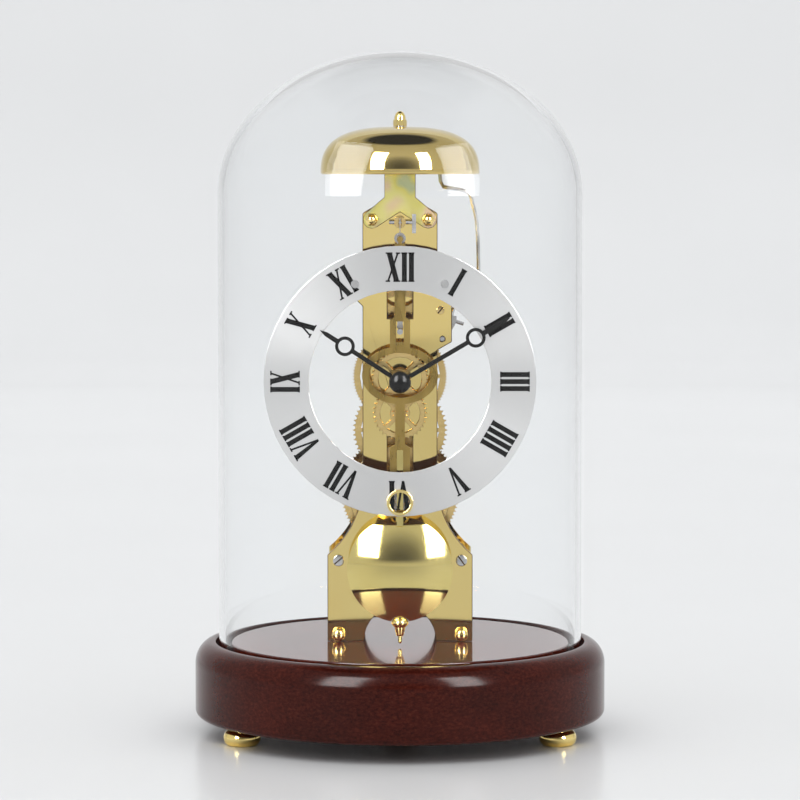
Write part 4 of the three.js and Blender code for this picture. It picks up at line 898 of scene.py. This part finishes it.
CEILING_LEAN = math.radians(13)
SKY = [(0.0, grey(0.70)), (0.6, grey(0.64)), (0.88, grey(0.56)), (0.93, grey(0.03))]
FRONT_SHADE = [(0.0, grey(1.0)), (0.80, grey(1.0)), (0.93, grey(0.35)), (0.99, grey(0.16))]
FRONT_RISE = [(0.0, grey(0.0)), (0.09, grey(1.0))]
WALL_DISTANCE = 3.2
WALL_WIDTH = 16
SWEEP_RADIUS = 1.0
AIM = (0, 0, 0.3)
WINDOWS = [("window_left", -0.66, 0.48), ("window_right", 0.78, 0.42)]
WINDOW_Y = -1.02
WINDOW_Z = 0.76
WINDOW_TALL = 1.1
WINDOW_RADIANCE = 18
OVERHEAD_PLACE = (0, 0.2, 3.6)
OVERHEAD_AIM = (0, 0.2, 0)
OVERHEAD_SIZE = 6.4
OVERHEAD_RADIANCE = 0.98
FILL_PLACE = (0, -2.4, 1.3)
FILL_WIDE = 2.4
FILL_TALL = 1.8
FILL_RADIANCE = 0.3
CAMERA_PLACE = (0, -1.4, 0.235)
CAMERA_DIP = 3.97
CAMERA_LENS = 152.5
CAMERA_SENSOR = 36
CAMERA_CLIP = (0.05, 50)


def make_world():
    """A pale room with a dark ceiling, dimmer in front above the horizon."""
    world = bpy.data.worlds.new("studio")
    world.use_nodes = True
    tree = world.node_tree
    coords = tree.nodes.new("ShaderNodeTexCoord")
    ceiling = (0, math.sin(CEILING_LEAN), math.cos(CEILING_LEAN))
    towards_ceiling = vector_math(tree, "DOT_PRODUCT", coords, "Generated", ceiling)
    towards_front = vector_math(tree, "DOT_PRODUCT", coords, "Generated", (0, -1, 0))
    upward = vector_math(tree, "DOT_PRODUCT", coords, "Generated", (0, 0, 1))
    sky = ramp(tree, towards_ceiling, "Value", SKY)
    shade = ramp(tree, towards_front, "Value", FRONT_SHADE)
    rise = ramp(tree, upward, "Value", FRONT_RISE)
    shaded = tree.nodes.new("ShaderNodeMixRGB")
    set_sockets(shaded, {"Color1": (1, 1, 1, 1)})
    link(tree, rise, "Color", shaded, "Fac")
    link(tree, shade, "Color", shaded, "Color2")
    link(tree, multiply(tree, sky, shaded), "Vector", tree.nodes["Background"], "Color")
    bpy.context.scene.world = world


def make_sweep():
    """A pale floor that curves up into a wall behind the clock."""
    turn = [math.radians(a) for a in range(10, 91, 10)]
    start = WALL_DISTANCE - SWEEP_RADIUS
    outline = [(-WALL_DISTANCE, 0.0), (start, 0.0)]
    outline += [(start + SWEEP_RADIUS * math.sin(a), SWEEP_RADIUS * (1 - math.cos(a))) for a in turn]
    outline.append((WALL_DISTANCE, WALL_DISTANCE))
    build = bmesh.new()
    rows = [[build.verts.new((x, y, z)) for x in (-WALL_WIDTH / 2, WALL_WIDTH / 2)] for y, z in outline]
    for one, two in zip(rows, rows[1:]):
        build.faces.new((one[0], one[1], two[1], two[0]))
    material, tree, shader = new_material("pale_floor")
    speck = noise(tree, scale=3, detail=2)
    colour = ramp(tree, speck, "Fac", [(0.3, (0.83, 0.84, 0.85)), (0.7, (0.85, 0.86, 0.87))])
    link(tree, colour, "Color", shader, "Base Color")
    set_sockets(shader, {"Roughness": 0.22, "Specular IOR Level": 0.3})
    mesh = close_build(build, "studio_sweep", merge=False)
    sweep = finish_mesh("studio_sweep", mesh, material, SOFT_ANGLE)
    return sweep


def softbox(name, place, aim, wide, tall, radiance):
    light = bpy.data.lights.new(name, "AREA")
    light.shape = "RECTANGLE"
    light.size = wide
    light.size_y = tall
    light.energy = radiance * math.pi * wide * tall
    obj = bpy.data.objects.new(name, light)
    obj.location = place
    obj.rotation_euler = (Vector(aim) - Vector(place)).to_track_quat("-Z", "Y").to_euler()
    obj.visible_camera = False
    bpy.context.scene.collection.objects.link(obj)
    return obj


def make_studio():
    """Two windows that light only reflections, not the floor, and two soft lights with no reflection."""
    bpy.context.scene.view_settings.view_transform = "Standard"
    make_world()
    unlit = bpy.data.collections.new("not_lit_by_windows")
    unlit.objects.link(make_sweep())
    unlit.collection_objects[0].light_linking.link_state = "EXCLUDE"
    for name, x, wide in WINDOWS:
        window = softbox(name, (x, WINDOW_Y, WINDOW_Z), AIM, wide, WINDOW_TALL, WINDOW_RADIANCE)
        window.visible_diffuse = False
        window.light_linking.receiver_collection = unlit
    overhead = softbox("overhead", OVERHEAD_PLACE, OVERHEAD_AIM, OVERHEAD_SIZE, OVERHEAD_SIZE,
                       OVERHEAD_RADIANCE)
    overhead.visible_glossy = False
    fill = softbox("front_fill", FILL_PLACE, AIM, FILL_WIDE, FILL_TALL, FILL_RADIANCE)
    fill.visible_glossy = False


def make_camera():
    data = bpy.data.cameras.new("camera")
    data.sensor_width = CAMERA_SENSOR
    data.lens = CAMERA_LENS
    data.clip_start, data.clip_end = CAMERA_CLIP
    camera = bpy.data.objects.new("camera", data)
    camera.location = CAMERA_PLACE
    camera.rotation_euler = (math.radians(90 - CAMERA_DIP), 0, 0)
    bpy.context.scene.collection.objects.link(camera)
    bpy.context.scene.camera = camera


make_base()
make_dome()
make_feet()
make_bell()
make_bell_nut()
make_plate_nuts()
make_screws()
make_bob()
make_rating_nut()
make_numerals()
dress_nodes()
make_studio()
make_camera()

bpy.context.view_layer.update()
